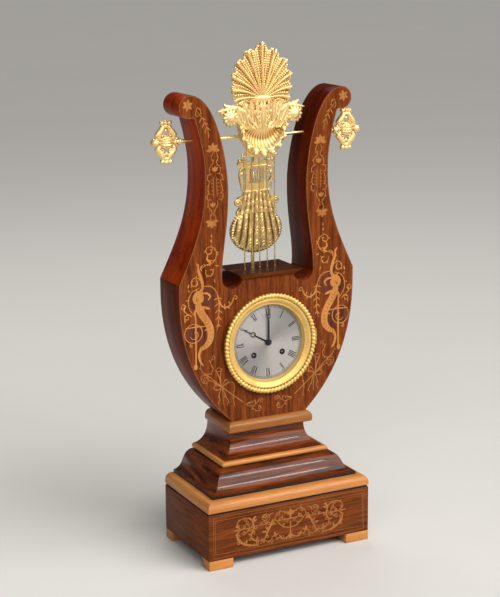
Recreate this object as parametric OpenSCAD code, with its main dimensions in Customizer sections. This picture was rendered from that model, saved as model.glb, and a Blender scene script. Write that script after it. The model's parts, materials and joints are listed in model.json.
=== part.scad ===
// Lyre mantel clock: rosewood lyre with boxwood mouldings, gilt crest and finials,
// a swinging gilt pendulum behind five strings and a round eight-day striking movement.
// Millimetres. X runs to the right, Y to the back and Z up; the origin is under the middle of the base.

/* [Plinth] */
// Width of the base box
base_w = 206.4; // [196:0.2:216]
// Depth of the base box, front to flat back
base_d = 118.8; // [112:0.2:126]
// Width of a block foot
foot_w = 30; // [20:1:40]
// Depth of a block foot
foot_d = 18; // [12:1:30]
// Height of a block foot
foot_h = 11.3; // [8:0.1:16]
// Height of the base box
box_h = 54; // [46:0.5:64]
// Height of the ebony strip over the box
strip_h = 2.7; // [1.5:0.1:4]
// Setback of the ebony strip
strip_inset = 1.2; // [0.5:0.1:2.5]
// Height of the light base moulding
base_mould_h = 11.5; // [9:0.1:14]
// Radius of the base moulding's rounded top edge
base_mould_r = 7.5; // [4:0.1:8]
// Setback of the ebony fillet under the ogee
ogee_inset = 10.8; // [9:0.1:13]
// Height of that fillet
fillet_h = 3; // [2:0.1:4]
// Height of the ogee moulding
ogee_h = 22.4; // [18:0.2:27]
// Run of the ogee moulding, bottom edge to top edge
ogee_run = 24.2; // [20:0.2:26]
// Height of the light bead moulding
bead_h = 6.5; // [5:0.1:8]
// Setback of the cavetto's bottom edge behind the bead
cavetto_inset = 4.3; // [3:0.1:6]
// Height of the cavetto moulding
cavetto_h = 28.6; // [24:0.2:34]
// Run of the cavetto moulding
cavetto_run = 16.7; // [13:0.1:18]
// Height of the light cap moulding
cap_h = 13; // [10:0.5:16]
// Overhang of the cap at its two ends
cap_end_over = 6.5; // [5:0.1:9]
// Overhang of the cap at the front
cap_front_over = 10; // [8:0.1:13]
// Setback of the cap behind the plinth's flat back
cap_back_inset = 7.4; // [4:0.1:9]

/* [Lyre] */
// Front plane of the lyre, along Y
lyre_front = -7.5; // [-8.5:0.1:-5]
// Depth of the bowl
lyre_d = 52; // [50:0.5:54]
// Depth that the arms lose between the shoulder and the scroll
arm_taper = 11; // [4:0.5:14]
// Thickness of the front veneer sheet
veneer_t = 1.2; // [0.8:0.1:2]
// Width of the bowl where it stands on the cap
bowl_foot_w = 95; // [90:0.5:100]
// Width of the bowl at its widest
bowl_w = 221.2; // [214:0.2:228]
// Height of the bowl's widest point over the cap
bowl_wide_h = 150; // [144:0.5:156]
// Height of the shoulder crease, where the arms start
shoulder_h = 165; // [162:0.5:168]
// Width over the arms at their waist
waist_w = 154; // [148:0.5:160]
// Clear width between the arms at their waist
waist_gap = 98; // [94:0.5:102]
// Height of the arms' waist
waist_h = 282; // [276:0.5:288]
// Height of the narrowest point of the gap between the arms
gap_waist_h = 267; // [262:0.5:272]
// Radius of the scroll at the top of an arm
scroll_r = 12.7; // [11:0.1:14]
// Distance of a scroll's centre from the middle
scroll_x = 94.3; // [91:0.1:97]
// Height of a scroll's centre
scroll_h = 361; // [356:0.5:366]
// Radius of the round dip beside the neck
dip_r = 13; // [11.5:0.1:13.5]
// Distance of a dip's centre from the middle
dip_x = 45; // [44:0.1:46]
// Height of a dip's centre
dip_h = 168; // [167:0.5:171]
// Height of the neck that carries the string shelf
neck_h = 164.7; // [164:0.1:166]
// Radius of the dowels that join arms and bowl
dowel_r = 5; // [3:0.5:7]
// Depth of a dowel in each piece
dowel_depth = 20; // [12:1:26]

/* [String shelf and strings] */
// Width of the shelf's top
shelf_w = 80; // [76:0.5:84]
// Height of the shelf
shelf_h = 6.8; // [5:0.1:8]
// Slope run of the shelf's sides and front
shelf_bevel = 6.5; // [4:0.1:8]
// Overhang of the shelf's top edge over the lyre's front
shelf_over = 8.5; // [7:0.1:10]
// Number of strings
string_count = 5; // [3:1:7]
// Spacing of the strings
string_pitch = 9.6; // [7:0.1:10]
// Diameter of a string
string_d = 1.4; // [1:0.1:2]
// Place of the strings along Y
string_y = 13; // [12.4:0.1:13.4]

/* [Cross rod and finials] */
// Diameter of the cross rod
rod_d = 3.8; // [3:0.1:4.4]
// Height of the cross rod over the cap
rod_h = 321.9; // [318:0.1:326]
// Place of the cross rod along Y
rod_y = 14.8; // [14.4:0.1:15.6]
// Distance of a finial's centre from the middle
finial_x = 113; // [111:0.1:116]
// Height of a finial
finial_h = 49; // [44:0.5:54]
// Thickness of a finial's openwork plate
finial_t = 7; // [5:0.1:9]
// Radius of a finial's turned boss
finial_boss_r = 7; // [6:0.1:8]
// Radius of a finial's outer knob
knob_r = 4.3; // [3:0.1:5]

/* [Crest] */
// Height of the crest's top over the cap
crest_top_h = 427; // [420:0.5:434]
// Height of the seam between shell and leaf body
crest_seam_h = 359; // [356:0.5:362]
// Height of the waist between leaf body and apron
crest_waist_h = 334; // [332:0.5:337]
// Height of the apron's lower rim
apron_low_h = 297; // [293:0.5:300]
// Width of the shell
shell_w = 75; // [70:0.5:80]
// Width of the leaf body at the seam
leaf_w = 60; // [56:0.5:64]
// Width of the crest at the waist
crest_waist_w = 50; // [46:0.5:54]
// Width of the apron
apron_w = 59; // [55:0.5:63]
// Number of ribs on the shell
shell_ribs = 11; // [7:2:15]
// Number of lobes on the apron
apron_lobes = 9; // [5:2:11]
// Relief of the castings in front of their flat back
crest_relief = 12; // [9:0.5:14]
// Place of the castings' flat back along Y
crest_back = 9; // [8:0.1:9.4]
// Distance of a side rosette from the middle
rosette_x = 43; // [41:0.5:46]
// Radius of a side rosette
rosette_r = 10; // [8:0.2:11]

/* [Pendulum] */
// Place of the pendulum's middle plane along Y
pendulum_y = 22; // [21.6:0.1:22.8]
// Thickness of the pendulum's frame
pendulum_t = 3.2; // [2.4:0.1:3.4]
// Height of the suspension pin over the cap
pivot_h = 325; // [323:0.5:327]
// Width of the bob
bob_w = 67; // [62:0.5:72]
// Height of the bob
bob_h = 53; // [48:0.5:56]
// Height of the bob's middle over the cap
bob_mid_h = 213.5; // [211:0.5:216]
// Number of flutes on the bob
bob_flutes = 18; // [12:1:24]
// Swing of the pendulum to each side, degrees
swing_deg = 3.5; // [2:0.1:4]

/* [Dial and bezel] */
// Height of the dial's centre over the cap
dial_h = 87.5; // [84:0.5:90]
// Outer radius of the bezel
bezel_r = 59; // [57:0.2:61]
// Sight radius of the bezel
sight_r = 44; // [42:0.2:45]
// Depth of the glazed bezel
bezel_t = 6; // [5:0.1:7]
// Number of gadroons round the bezel
gadroons = 72; // [48:4:84]
// Distance of a winding hole from the middle
wind_x = 18.3; // [18:0.1:19]
// Distance of the winding holes below the centre
wind_drop = 13.5; // [13:0.1:14.5]
// Radius of a winding hole
wind_r = 3; // [2.6:0.1:3.6]
// Length of the minute hand
minute_len = 43; // [38:0.5:43.5]
// Length of the hour hand
hour_len = 35; // [28:0.5:38]

/* [Movement] */
// Radius of the movement plates
plate_r = 43.5; // [43:0.1:44]
// Thickness of a movement plate
plate_t = 2; // [1.5:0.1:2.4]
// Distance between the plates
plate_gap = 22; // [21.6:0.1:23]
// Radius of the bell
bell_r = 30; // [27:0.5:30.5]
// Depth of the bell
bell_d = 11; // [9:0.5:11.5]

/* [Fits] */
// Radial clearance of a turning fit
turn_gap = 0.05; // [0.02:0.01:0.1]
// Radial clearance of a glued or pressed fit
seat_gap = 0.05; // [0.02:0.01:0.1]
// Clearance between pieces that move past each other
pass_gap = 0.4; // [0.3:0.05:0.6]

/* [Hidden] */
$fn = 96;
// Overlap of two shapes that are one piece, and end play of an arbor
join_lap = 0.1;
end_shake = 0.3;

// Colours
ROSEWOOD = [0.42, 0.20, 0.11];
BOXWOOD = [0.83, 0.60, 0.33];
EBONY = [0.07, 0.05, 0.05];
PINE = [0.72, 0.55, 0.36];
GILT = [0.93, 0.80, 0.45];
BRASS = [0.80, 0.65, 0.30];
STEEL = [0.45, 0.47, 0.50];
BLUED = [0.08, 0.09, 0.16];
SILVERED = [0.85, 0.85, 0.83];

// Heights of the plinth's tiers
z_box = foot_h;
z_strip = z_box + box_h;
z_base_mould = z_strip + strip_h;
z_fillet = z_base_mould + base_mould_h;
z_ogee = z_fillet + fillet_h;
z_bead = z_ogee + ogee_h;
z_cavetto = z_bead + bead_h;
z_cap = z_cavetto + cavetto_h;
z_lyre = z_cap + cap_h;

// Setbacks of the upper tiers behind the base's edges
in_ogee_top = ogee_inset + ogee_run;
in_cavetto = in_ogee_top + cavetto_inset;
in_cavetto_top = in_cavetto + cavetto_run;
core_margin = 2;
in_low_core = in_cavetto + core_margin;
in_high_core = in_cavetto_top + core_margin;
plinth_back = base_d / 2;

// Pull of the curves at the ends of the ogee and the cavetto, as shares of run and height
ogee_pull = [0.62, 0.08];
cavetto_low_pull = [0.65, 0.1];
cavetto_high_pull = 0.6;

// Radii of the cap's thumb moulding
cap_low_r = 2.6;
cap_top_r = 6.5;
cap_steps = 8;

// Lyre planes
lyre_back = lyre_front + lyre_d;
carcass_front = lyre_front + veneer_t;
z_shoulder = z_lyre + shoulder_h;
z_neck = z_lyre + neck_h;
z_scroll_top = z_lyre + scroll_h + scroll_r;
curve_steps = 12;

// Pulls of the lyre's curves
bowl_foot_pull = [42, 38];
bowl_wide_pull = [0, 62];
shoulder_pull = [-22.5, 47];
waist_low_pull = [0, 44];
waist_high_pull = [0, 26];
notch_pull = [7, 25];
notch_turn = 245;
scroll_turn = 252;
scroll_pull = [33, 0];
gap_high_pull = [0, 30];
gap_low_pull = [0, 45];
dip_pull = [0, 31];

// Joints of the lyre
neck_half = dip_x - sqrt(pow(dip_r, 2) - pow(dip_h - neck_h, 2));
arm_foot_in = dip_x + sqrt(pow(dip_r, 2) - pow(dip_h - shoulder_h, 2));
dowel_x = (arm_foot_in + bowl_w / 2) / 2;
dowel_y = carcass_front + (lyre_d - veneer_t) / 2;

// Shelf and strings
z_shelf = z_neck;
z_shelf_top = z_shelf + shelf_h;
shelf_back_inset = 2;
shelf_back = lyre_back - shelf_back_inset;

// Rod, crest and suspension
z_rod = z_lyre + rod_h;
z_seam = z_lyre + crest_seam_h;
z_waist = z_lyre + crest_waist_h;
z_apron = z_lyre + apron_low_h;
z_crest = z_lyre + crest_top_h;
z_pivot = z_lyre + pivot_h;
bracket_t = 2.5;
bracket_front = crest_back;
bracket_back = bracket_front + bracket_t;
bracket_w = 36;
bracket_rise = 18;
lip_h = 4;
lip_margin = 6;
lip_lift = 2;
z_lip = z_apron + lip_lift;
lug_w = 6;
lug_x = 14;
rod_r = rod_d / 2;
lug_r = rod_r + 2;
cock_w = 10;
cock_cheek = 2;
eye_r = 2.6;
pin_r = 1.25;
eye_front = pendulum_y - pendulum_t / 2;
eye_back = pendulum_y + pendulum_t / 2;
cock_front = bracket_back + pass_gap;
cock_back = eye_back + pass_gap + cock_cheek;

// Pendulum
z_bob = z_lyre + bob_mid_h;
z_bob_top = z_bob + bob_h / 2;
bob_gap = 0.3;
z_collar = z_bob_top + bob_gap;
collar_h = 18;
window_lift = 9;
z_window = z_collar + collar_h + window_lift;
window_w = 19;
window_h = 17;
frame_w = 25;
rail_h = 3;
handle_r = 9;
handle_bar = 2.4;
crosshead_h = 6;
crosshead_over = 6;
knob_over = 7;
knob_end_r = 3.6;
collar_neck_w = 18;
stem_w = 6;
rods_in_grid = 5;
grid_rod_r = 1.1;
strap_w = 10;
strap_t = 2.4;
fork_pin_r = 1;
fork_drop = 17;
z_fork = z_bob - fork_drop;

// Dial centre and depth stack
z_dial = z_lyre + dial_h;
bore_r = 46.2;
dial_gap = 0.4;
dial_r = bore_r - dial_gap;
dial_t = 1.2;
dial_recess = 1.6;
dial_front = lyre_front + dial_recess;
dial_back = dial_front + dial_t;
seat_ring_t = 1.8;
seat_ring_w = 5;
seat_reveal = 1.5;
bezel_gap = 0.3;
bezel_back = lyre_front - seat_ring_t - bezel_gap;
bezel_front = bezel_back - bezel_t;
glass_t = 1.6;
glass_lap = 2;
glass_r = sight_r + glass_lap;
hand_t = 0.45;
hour_lift = 1.1;
hand_step = 1.2;
nut_t = 0.8;
hour_front = dial_front - hour_lift;
minute_front = hour_front - hand_step;
nut_front = minute_front - nut_t;
motion_room = 6.8;
plate_front = dial_back + motion_room;
train_front = plate_front + plate_t;
train_back = train_front + plate_gap;
plate_back = train_back + plate_t;
ring_t = 3;
ring_ledge = 2.2;

// Hinges of the bezel and of the back door
hinge_r = 1;
hinge_pin_r = 0.5;
hinge_mid = 10;
hinge_end = 4;
bezel_leaf_w = 2.5;
door_leaf_w = 5;
hinge_leaf_t = 0.5;
hinge_off = hinge_leaf_t + hinge_r + pass_gap;
bezel_axis = [bezel_r + hinge_r + pass_gap, lyre_front - hinge_off];
door_lap = 4.5;
door_r = bore_r + door_lap;
door_t = 1.4;
door_gap = 0.3;
door_front = lyre_back + door_gap;
door_axis = [-door_r - hinge_r - pass_gap, lyre_back + hinge_off];

// Train: tooth counts and modules
great_n = 69;
great_m = 0.5;
inter_pin_n = 10;
inter_n = 54;
inter_m = 0.45;
centre_pin_n = 12;
centre_n = 96;
centre_m = 0.28;
third_pin_n = 8;
third_n = 90;
third_m = 0.26;
escape_pin_n = 8;
escape_n = 40;
escape_r = 8;
escape_t = 1;
fly_pin_n = 8;
cannon_n = 12;
minute_n = 36;
motion_m = 0.4;
minute_pin_n = 10;
hour_n = 40;
ratchet_n = 20;
ratchet_r = 5;
arbor_r = 0.75;
pivot_r = 0.5;
stud_r = 0.8;
centre_arbor_r = 1.1;
wind_arbor_r = 2;

// Arbor places in the plane of the plates, from the dial's centre
CENTRE = [0, 0];
GOING = [wind_x, -wind_drop];
STRIKE = [-wind_x, -wind_drop];
great_reach = great_m * (great_n + inter_pin_n) / 2;
INTER = meet(GOING, great_reach, CENTRE, inter_m * (inter_n + centre_pin_n) / 2, -1);
ESCAPE = [0, 22.5];
ANCHOR = [0, 33];
centre_reach = centre_m * (centre_n + third_pin_n) / 2;
third_reach = third_m * (third_n + escape_pin_n) / 2;
THIRD = meet(CENTRE, centre_reach, ESCAPE, third_reach, 1);
PIN = STRIKE + great_reach * [cos(120), sin(120)];
FLY = PIN + inter_m * (inter_n + fly_pin_n) / 2 * [cos(70), sin(70)];
motion_reach = motion_m * (cannon_n + minute_n) / 2;
MINUTE = [0, -motion_reach];
hour_m = 2 * motion_reach / (minute_pin_n + hour_n);
PILLARS = [[29, 24.5], [-29, 24.5], [12, -36.2], [-12, -36.2]];
pillar_r = 2.6;
BELL = [0, -6];
HAMMER = [36, 14];
hammer_len = 16.2;
hammer_r = 2.4;
hammer_hub_r = 2.6;
hammer_hub_t = 3;
hammer_stud_r = 1.2;
bell_post_r = 2;
bell_wall = 1.4;

// Layers in front of, between and behind the plates
y_minute = plate_front - 2;
y_hour = plate_front - 4.8;
y_centre_wheel = train_front + 1.2;
y_drum = train_front + 4;
drum_len = 12;
y_great = y_drum + drum_len + 0.5;
great_t = 2;
y_inter = train_back - 2.4;
wheel_t = 1.2;
pinion_over = 0.3;
y_third = train_front + 5;
y_escape = train_front + 11;
y_crutch = plate_back + 2.5;
crutch_t = 1.5;
cock_arm_t = 1.5;
y_cock = y_crutch + crutch_t + 1;
y_bell = plate_back + 4;
y_hammer = plate_back + 6;
crutch_w = 4;
fork_bar = 2;
fork_len = 14;

// Reach of the crutch at the shelf, and the slot it swings in
fork_lever = z_fork - (z_dial + ANCHOR.y);
pin_lever = z_pivot - z_fork;
crutch_deg = swing_deg * pin_lever / fork_lever;
slot_half = (z_shelf_top - z_dial - ANCHOR.y) * tan(crutch_deg) + crutch_w / 2 + 1;
slot_front = y_crutch - 1;
slot_back = y_crutch + crutch_t + 1;

// Points along a cubic curve
function curve(a, b, c, d, n = curve_steps) = [
    for (i = [0:n]) let (t = i / n, s = 1 - t)
        s * s * s * a + 3 * s * s * t * b + 3 * s * t * t * c + t * t * t * d
];

// Points along an arc, degrees
function arc(c, r, a0, a1, n = curve_steps) = [
    for (i = [0:n]) let (a = a0 + (a1 - a0) * i / n) c + r * [cos(a), sin(a)]
];

// The same path on the other side of the middle, walked backwards
function mirrored(path) = [for (i = [len(path) - 1:-1:0]) [-path[i].x, path[i].y]];

// The point at distance ra from a and rb from b
function meet(a, ra, b, rb, side) =
    let (d = norm(b - a), u = (b - a) / d, q = (ra * ra - rb * rb + d * d) / (2 * d))
        a + q * u + side * sqrt(ra * ra - q * q) * [-u.y, u.x];

function direction(a, b) = atan2(b.y - a.y, b.x - a.x);

// Turn of gear b so that it meshes with gear a
function mesh_turn(a_n, a_turn, b_n, dir) =
    let (u = (dir - a_turn) * a_n / 360) dir + 180 - (0.5 - u) * 360 / b_n;

// A solid between two Y planes from an outline in X and Z
module slab(y0, y1) {
    translate([0, y1, 0]) rotate([90, 0, 0]) linear_extrude(y1 - y0) children();
}

// A round bar along Y
module bar_y(p, r, y0, y1) {
    translate([p.x, y0, p.y]) rotate([-90, 0, 0]) cylinder(r = r, h = y1 - y0);
}

// A turned solid about a Y axis, from a profile in radius and Y
module turned(p) {
    translate([p.x, 0, p.y]) rotate([-90, 0, 0]) rotate_extrude() children();
}

function from_dial(p) = [p.x, z_dial + p.y];

// Plinth

// A tier of the plinth: the same profile of [setback, height] on the front and both ends, flat at the back
module tier(profile) {
    top = profile[len(profile) - 1].y;
    low = profile[0].y;
    ends = [for (p = profile) [base_w / 2 - p.x, p.y]];
    front = [for (p = profile) [p.x - base_d / 2, p.y]];
    intersection() {
        slab(-base_d, plinth_back) polygon(concat(ends, mirrored(ends)));
        rotate([90, 0, 90]) linear_extrude(2 * base_w, center = true)
            polygon(concat(front, [[base_d, top], [base_d, low]]));
    }
}

// The block inside the mouldings
module core_block(inset, z0, z1) {
    translate([inset - base_w / 2, inset - base_d / 2, z0])
        cube([base_w - 2 * inset, plinth_back + base_d / 2 - inset, z1 - z0]);
}

// A moulding strip round the plinth's core
module strip(profile, inset) {
    difference() {
        tier(profile);
        core_block(inset, profile[0].y - 1, profile[len(profile) - 1].y + 1);
    }
}

module feet() {
    color(BOXWOOD)
        for (sx = [-1, 1])
            for (sy = [-1, 1])
                translate([sx * (base_w - foot_w) / 2, sy * (base_d - foot_d) / 2, foot_h / 2])
                    cube([foot_w, foot_d, foot_h], center = true);
}

module base_box() {
    color(ROSEWOOD)
        translate([-base_w / 2, -base_d / 2, z_box]) cube([base_w, base_d, box_h]);
}

module ebony_strip() {
    color(EBONY)
        strip([[strip_inset, z_strip], [strip_inset, z_base_mould]], in_low_core);
}

module base_moulding() {
    round_c = [base_mould_r, z_fillet - base_mould_r];
    color(BOXWOOD)
        strip(concat([[0, z_base_mould]], arc(round_c, base_mould_r, 180, 90)), in_low_core);
}

module ogee_fillet() {
    color(EBONY)
        strip([[ogee_inset, z_fillet], [ogee_inset, z_ogee]], in_low_core);
}

module ogee_moulding() {
    low = [ogee_inset, z_ogee];
    high = [in_ogee_top, z_bead];
    pull = [ogee_pull.x * ogee_run, ogee_pull.y * ogee_h];
    color(ROSEWOOD)
        strip(curve(low, low + pull, high - pull, high), in_low_core);
}

module bead_moulding() {
    round_c = [in_ogee_top + bead_h / 2, z_bead + bead_h / 2];
    color(BOXWOOD)
        strip(arc(round_c, bead_h / 2, 270, 90), in_low_core);
}

module cavetto_moulding() {
    low = [in_cavetto, z_cavetto];
    high = [in_cavetto_top, z_cap];
    low_pull = [cavetto_low_pull.x * cavetto_run, cavetto_low_pull.y * cavetto_h];
    high_pull = [0, cavetto_high_pull * cavetto_h];
    color(ROSEWOOD)
        strip(curve(low, low + low_pull, high - high_pull, high), in_high_core);
}

module plinth_core() {
    color(PINE) {
        core_block(in_low_core, z_strip, z_cavetto);
        core_block(in_high_core, z_cavetto, z_cap);
    }
}

// The cap is one board with a thumb moulding on its front and ends
module cap_moulding() {
    hw = base_w / 2 - in_cavetto_top + cap_end_over;
    front = in_cavetto_top - base_d / 2 - cap_front_over;
    edge = concat(
        arc([-cap_low_r, z_cap + cap_low_r], cap_low_r, -90, 0, cap_steps),
        arc([-cap_top_r, z_lyre - cap_top_r], cap_top_r, 0, 90, cap_steps)
    );
    ends = [for (p = edge) [hw + p.x, p.y]];
    face = [for (p = edge) [front - p.x, p.y]];
    color(BOXWOOD)
        intersection() {
            slab(-base_d, plinth_back - cap_back_inset) polygon(concat(ends, mirrored(ends)));
            rotate([90, 0, 90]) linear_extrude(2 * base_w, center = true)
                polygon(concat(face, [[base_d, z_lyre], [base_d, z_cap]]));
        }
}

// Lyre

// Right edge of the bowl, from the cap up to the shoulder crease
function bowl_edge() =
    let (foot = [bowl_foot_w / 2, z_lyre], wide = [bowl_w / 2, z_lyre + bowl_wide_h])
        concat(
            curve(foot, foot + bowl_foot_pull, wide - bowl_wide_pull, wide),
            [[bowl_w / 2, z_shoulder]]
        );

// Outer edge of the right arm, from the shoulder crease to the scroll
function arm_outer() =
    let (
        shoulder = [bowl_w / 2, z_shoulder],
        waist = [waist_w / 2, z_lyre + waist_h],
        notch = [scroll_x, z_lyre + scroll_h] + scroll_r * [cos(notch_turn), sin(notch_turn)]
    )
        concat(
            curve(shoulder, shoulder + shoulder_pull, waist - waist_low_pull, waist),
            curve(waist, waist + waist_high_pull, notch - notch_pull, notch)
        );

// The scroll's round end
function arm_scroll() = arc([scroll_x, z_lyre + scroll_h], scroll_r, scroll_turn, 450);

// Inner edge of the right arm, from the scroll down to the shoulder
function arm_inner() =
    let (
        top = [scroll_x, z_scroll_top],
        waist = [waist_gap / 2, z_lyre + gap_waist_h],
        dip = [dip_x + dip_r, z_lyre + dip_h]
    )
        concat(
            curve(top, top - scroll_pull, waist + gap_high_pull, waist),
            curve(waist, waist - gap_low_pull, dip + dip_pull, dip)
        );

// The round dip between arm and neck
function dip_edge() =
    let (side = asin((dip_h - neck_h) / dip_r), foot = asin((dip_h - shoulder_h) / dip_r))
        arc([dip_x, z_lyre + dip_h], dip_r, -foot, side - 180);

function half_arm() = concat(arm_outer(), arm_scroll(), arm_inner());

module bowl_outline() {
    right = concat(bowl_edge(), dip_edge());
    polygon(concat(right, mirrored(right)));
}

module arm_outline() {
    polygon(concat(half_arm(), [[arm_foot_in, z_shoulder]]));
}

module lyre_outline() {
    right = concat(bowl_edge(), half_arm(), dip_edge());
    polygon(concat(right, mirrored(right)));
}

module crutch_slot(z0, z1) {
    translate([-slot_half, slot_front, z0]) cube([2 * slot_half, slot_back - slot_front, z1 - z0]);
}

module dowel_pair(r, z0, z1) {
    for (side = [-1, 1])
        translate([side * dowel_x, dowel_y, z0]) cylinder(r = r, h = z1 - z0);
}

module lyre_bowl() {
    color(ROSEWOOD)
        difference() {
            slab(carcass_front, lyre_back) bowl_outline();
            bar_y([0, z_dial], bore_r, lyre_front - 1, lyre_back + 1);
            crutch_slot(z_dial, z_neck + 1);
            dowel_pair(dowel_r + seat_gap, z_shoulder - dowel_depth, z_shoulder + 1);
        }
}

// The right arm; its back face leans forward towards the scroll
module arm_solid() {
    difference() {
        intersection() {
            slab(carcass_front, lyre_back) arm_outline();
            rotate([90, 0, 90]) linear_extrude(2 * bowl_w, center = true)
                polygon([
                    [carcass_front, z_shoulder], [lyre_back, z_shoulder],
                    [lyre_back - arm_taper, z_scroll_top + 1], [carcass_front, z_scroll_top + 1]
                ]);
        }
        dowel_pair(dowel_r + seat_gap, z_shoulder - 1, z_shoulder + dowel_depth);
        translate([0, rod_y, z_rod]) rotate([0, 90, 0]) cylinder(r = rod_r + seat_gap, h = bowl_w);
    }
}

module right_arm() {
    color(ROSEWOOD) arm_solid();
}

module left_arm() {
    color(ROSEWOOD) mirror([1, 0, 0]) arm_solid();
}

module arm_dowels() {
    color(PINE) dowel_pair(dowel_r, z_shoulder - dowel_depth, z_shoulder + dowel_depth);
}

module front_veneer() {
    color(ROSEWOOD)
        difference() {
            slab(lyre_front, carcass_front) lyre_outline();
            bar_y([0, z_dial], bore_r, lyre_front - 1, lyre_back);
        }
}

// Shelf and strings

module string_shelf() {
    low = shelf_w / 2 - shelf_bevel;
    front = lyre_front - shelf_over;
    color(ROSEWOOD)
        difference() {
            intersection() {
                slab(-base_d, shelf_back)
                    polygon([
                        [-low, z_shelf], [low, z_shelf],
                        [shelf_w / 2, z_shelf_top], [-shelf_w / 2, z_shelf_top]
                    ]);
                rotate([90, 0, 90]) linear_extrude(base_w, center = true)
                    polygon([
                        [front + shelf_bevel, z_shelf], [base_d, z_shelf],
                        [base_d, z_shelf_top], [front, z_shelf_top]
                    ]);
            }
            crutch_slot(z_shelf - 1, z_shelf_top + 1);
        }
}

module strings() {
    color(BRASS)
        for (i = [0:string_count - 1])
            translate([(i - (string_count - 1) / 2) * string_pitch, string_y, z_shelf_top])
                cylinder(d = string_d, h = z_lip - z_shelf_top, $fn = 24);
}

// Cross rod and finials

finial_socket = 8;
finial_neck = 17;
rod_half = finial_x - finial_neck + finial_socket;
collar_over = 2.6;
neck_over = 1.2;
knob_x = 13.4;
knob_stem_r = 2.4;
eye_z = 9.5;
eye_hoop_r = 6.2;
eye_hole_r = 2.5;
palmette_w = 14;
lobe_r = 2.6;
lobe_drop = 1.2;
side_bead = [7.4, 6.8];
side_bead_r = 2.3;

module cross_rod() {
    color(BRASS)
        translate([-rod_half, rod_y, z_rod]) rotate([0, 90, 0]) cylinder(r = rod_r, h = 2 * rod_half);
}

// Openwork outline of a finial about its own centre
module finial_outline() {
    tip = finial_h / 2;
    difference() {
        union() {
            circle(r = finial_boss_r + 1.5);
            for (s = [-1, 1]) {
                translate([0, s * eye_z]) circle(r = eye_hoop_r);
                translate([0, s * (eye_z + 6)]) square([6, 8], center = true);
                for (k = [-1, 0, 1])
                    translate([k * (palmette_w / 2 - lobe_r), s * (tip - lobe_r - abs(k) * lobe_drop)])
                        circle(r = lobe_r);
                translate([0, s * (tip - 5.4)]) square([palmette_w - 3, 4], center = true);
                for (k = [-1, 1])
                    translate([k * side_bead.x, s * side_bead.y]) circle(r = side_bead_r);
            }
        }
        for (s = [-1, 1])
            translate([0, s * (eye_z + 0.6)]) circle(r = eye_hole_r);
    }
}

// The right finial: openwork plate, turned boss, neck and outer knob
module finial_solid() {
    difference() {
        union() {
            translate([finial_x, 0, z_rod]) slab(rod_y - finial_t / 2, rod_y + finial_t / 2) finial_outline();
            translate([finial_x, rod_y, z_rod]) rotate([0, 90, 0]) rotate_extrude()
                polygon([
                    [0, -finial_neck], [rod_r + collar_over, -finial_neck],
                    [rod_r + collar_over, 1.5 - finial_neck], [rod_r + neck_over, 2.5 - finial_neck],
                    [rod_r + neck_over, -6], [finial_boss_r, -4], [finial_boss_r, 4],
                    [knob_stem_r, 8], [knob_stem_r, knob_x], [0, knob_x]
                ]);
            translate([finial_x + knob_x, rod_y, z_rod]) sphere(r = knob_r);
        }
        translate([finial_x - finial_neck - 1, rod_y, z_rod]) rotate([0, 90, 0])
            cylinder(r = rod_r + seat_gap, h = finial_socket + 1);
    }
}

module right_finial() {
    color(GILT) finial_solid();
}

module left_finial() {
    color(GILT) mirror([1, 0, 0]) finial_solid();
}

// Crest castings

// A casting with a flat back: rows of points run from a straight base line to a free rim.
// Each point is [x, z, height of the relief].
module casting(rows, back) {
    across = len(rows[0]);
    count = len(rows);
    front = [for (row = rows) for (p = row) [p.x, back - p.z, p.y]];
    rear = [for (row = rows) for (p = row) [p.x, back, p.y]];
    shift = across * count;
    edge = concat(
        [for (i = [0:across - 1]) i],
        [for (j = [1:count - 1]) j * across + across - 1],
        [for (i = [across - 2:-1:0]) (count - 1) * across + i],
        [for (j = [count - 2:-1:1]) j * across]
    );
    cells = [for (j = [0:count - 2]) for (i = [0:across - 2]) j * across + i];
    faces = concat(
        [for (k = cells) each [[k, k + across, k + across + 1], [k, k + across + 1, k + 1]]],
        [for (k = cells) let (r = k + shift)
            each [[r, r + across + 1, r + across], [r, r + 1, r + across + 1]]],
        [for (n = [0:len(edge) - 1]) let (a = edge[n], b = edge[(n + 1) % len(edge)])
            [a, b, b + shift, a + shift]]
    );
    polyhedron(concat(front, rear), faces);
}

// Rounded rib profile across a fan: 1 on a rib's crest, 0 in a groove
function rib(s, count) = abs(sin(180 * s * count));

crest_rows = 8;
rib_steps = 4;
shell_turn = 84;
shell_scallop = 0.06;
apron_turn = 80;
apron_scallop = 0.08;
// Shares of the relief: at the rim, in the crown and on the ribs
rim_share = 0.3;
crown_share = 0.45;
rib_share = 0.25;
crown_start = 20;
crown_sweep = 150;
crown_fall = 0.5;

// A ribbed fan from a base line of half width base_half at height z0 to an oval rim
function fan(base_half, z0, rim_half, rise, turn, ribs, scallop) = [
    for (j = [0:crest_rows]) let (t = j / crest_rows)
        [for (i = [0:ribs * rib_steps]) let (
                s = i / (ribs * rib_steps),
                a = turn * (1 - 2 * s),
                lobe = 1 - scallop * t * (1 - rib(s, ribs)),
                rim = [-rim_half * sin(a), rise * cos(a)] * lobe,
                base = [(2 * s - 1) * base_half, 0],
                crown = sin(crown_start + crown_sweep * t),
                dome = 1 - crown_fall * pow(2 * s - 1, 2),
                depth = rim_share + crown_share * crown * dome + rib_share * t * rib(s, ribs)
            )
            let (p = base * (1 - t) + rim * t)
                [p.x, z0 + p.y, crest_relief * depth]
        ]
];

module crest_shell() {
    color(GILT)
        casting(
            fan(leaf_w / 2, z_seam, shell_w / 2, z_crest - z_seam, shell_turn, shell_ribs, shell_scallop),
            crest_back
        );
}

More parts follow.
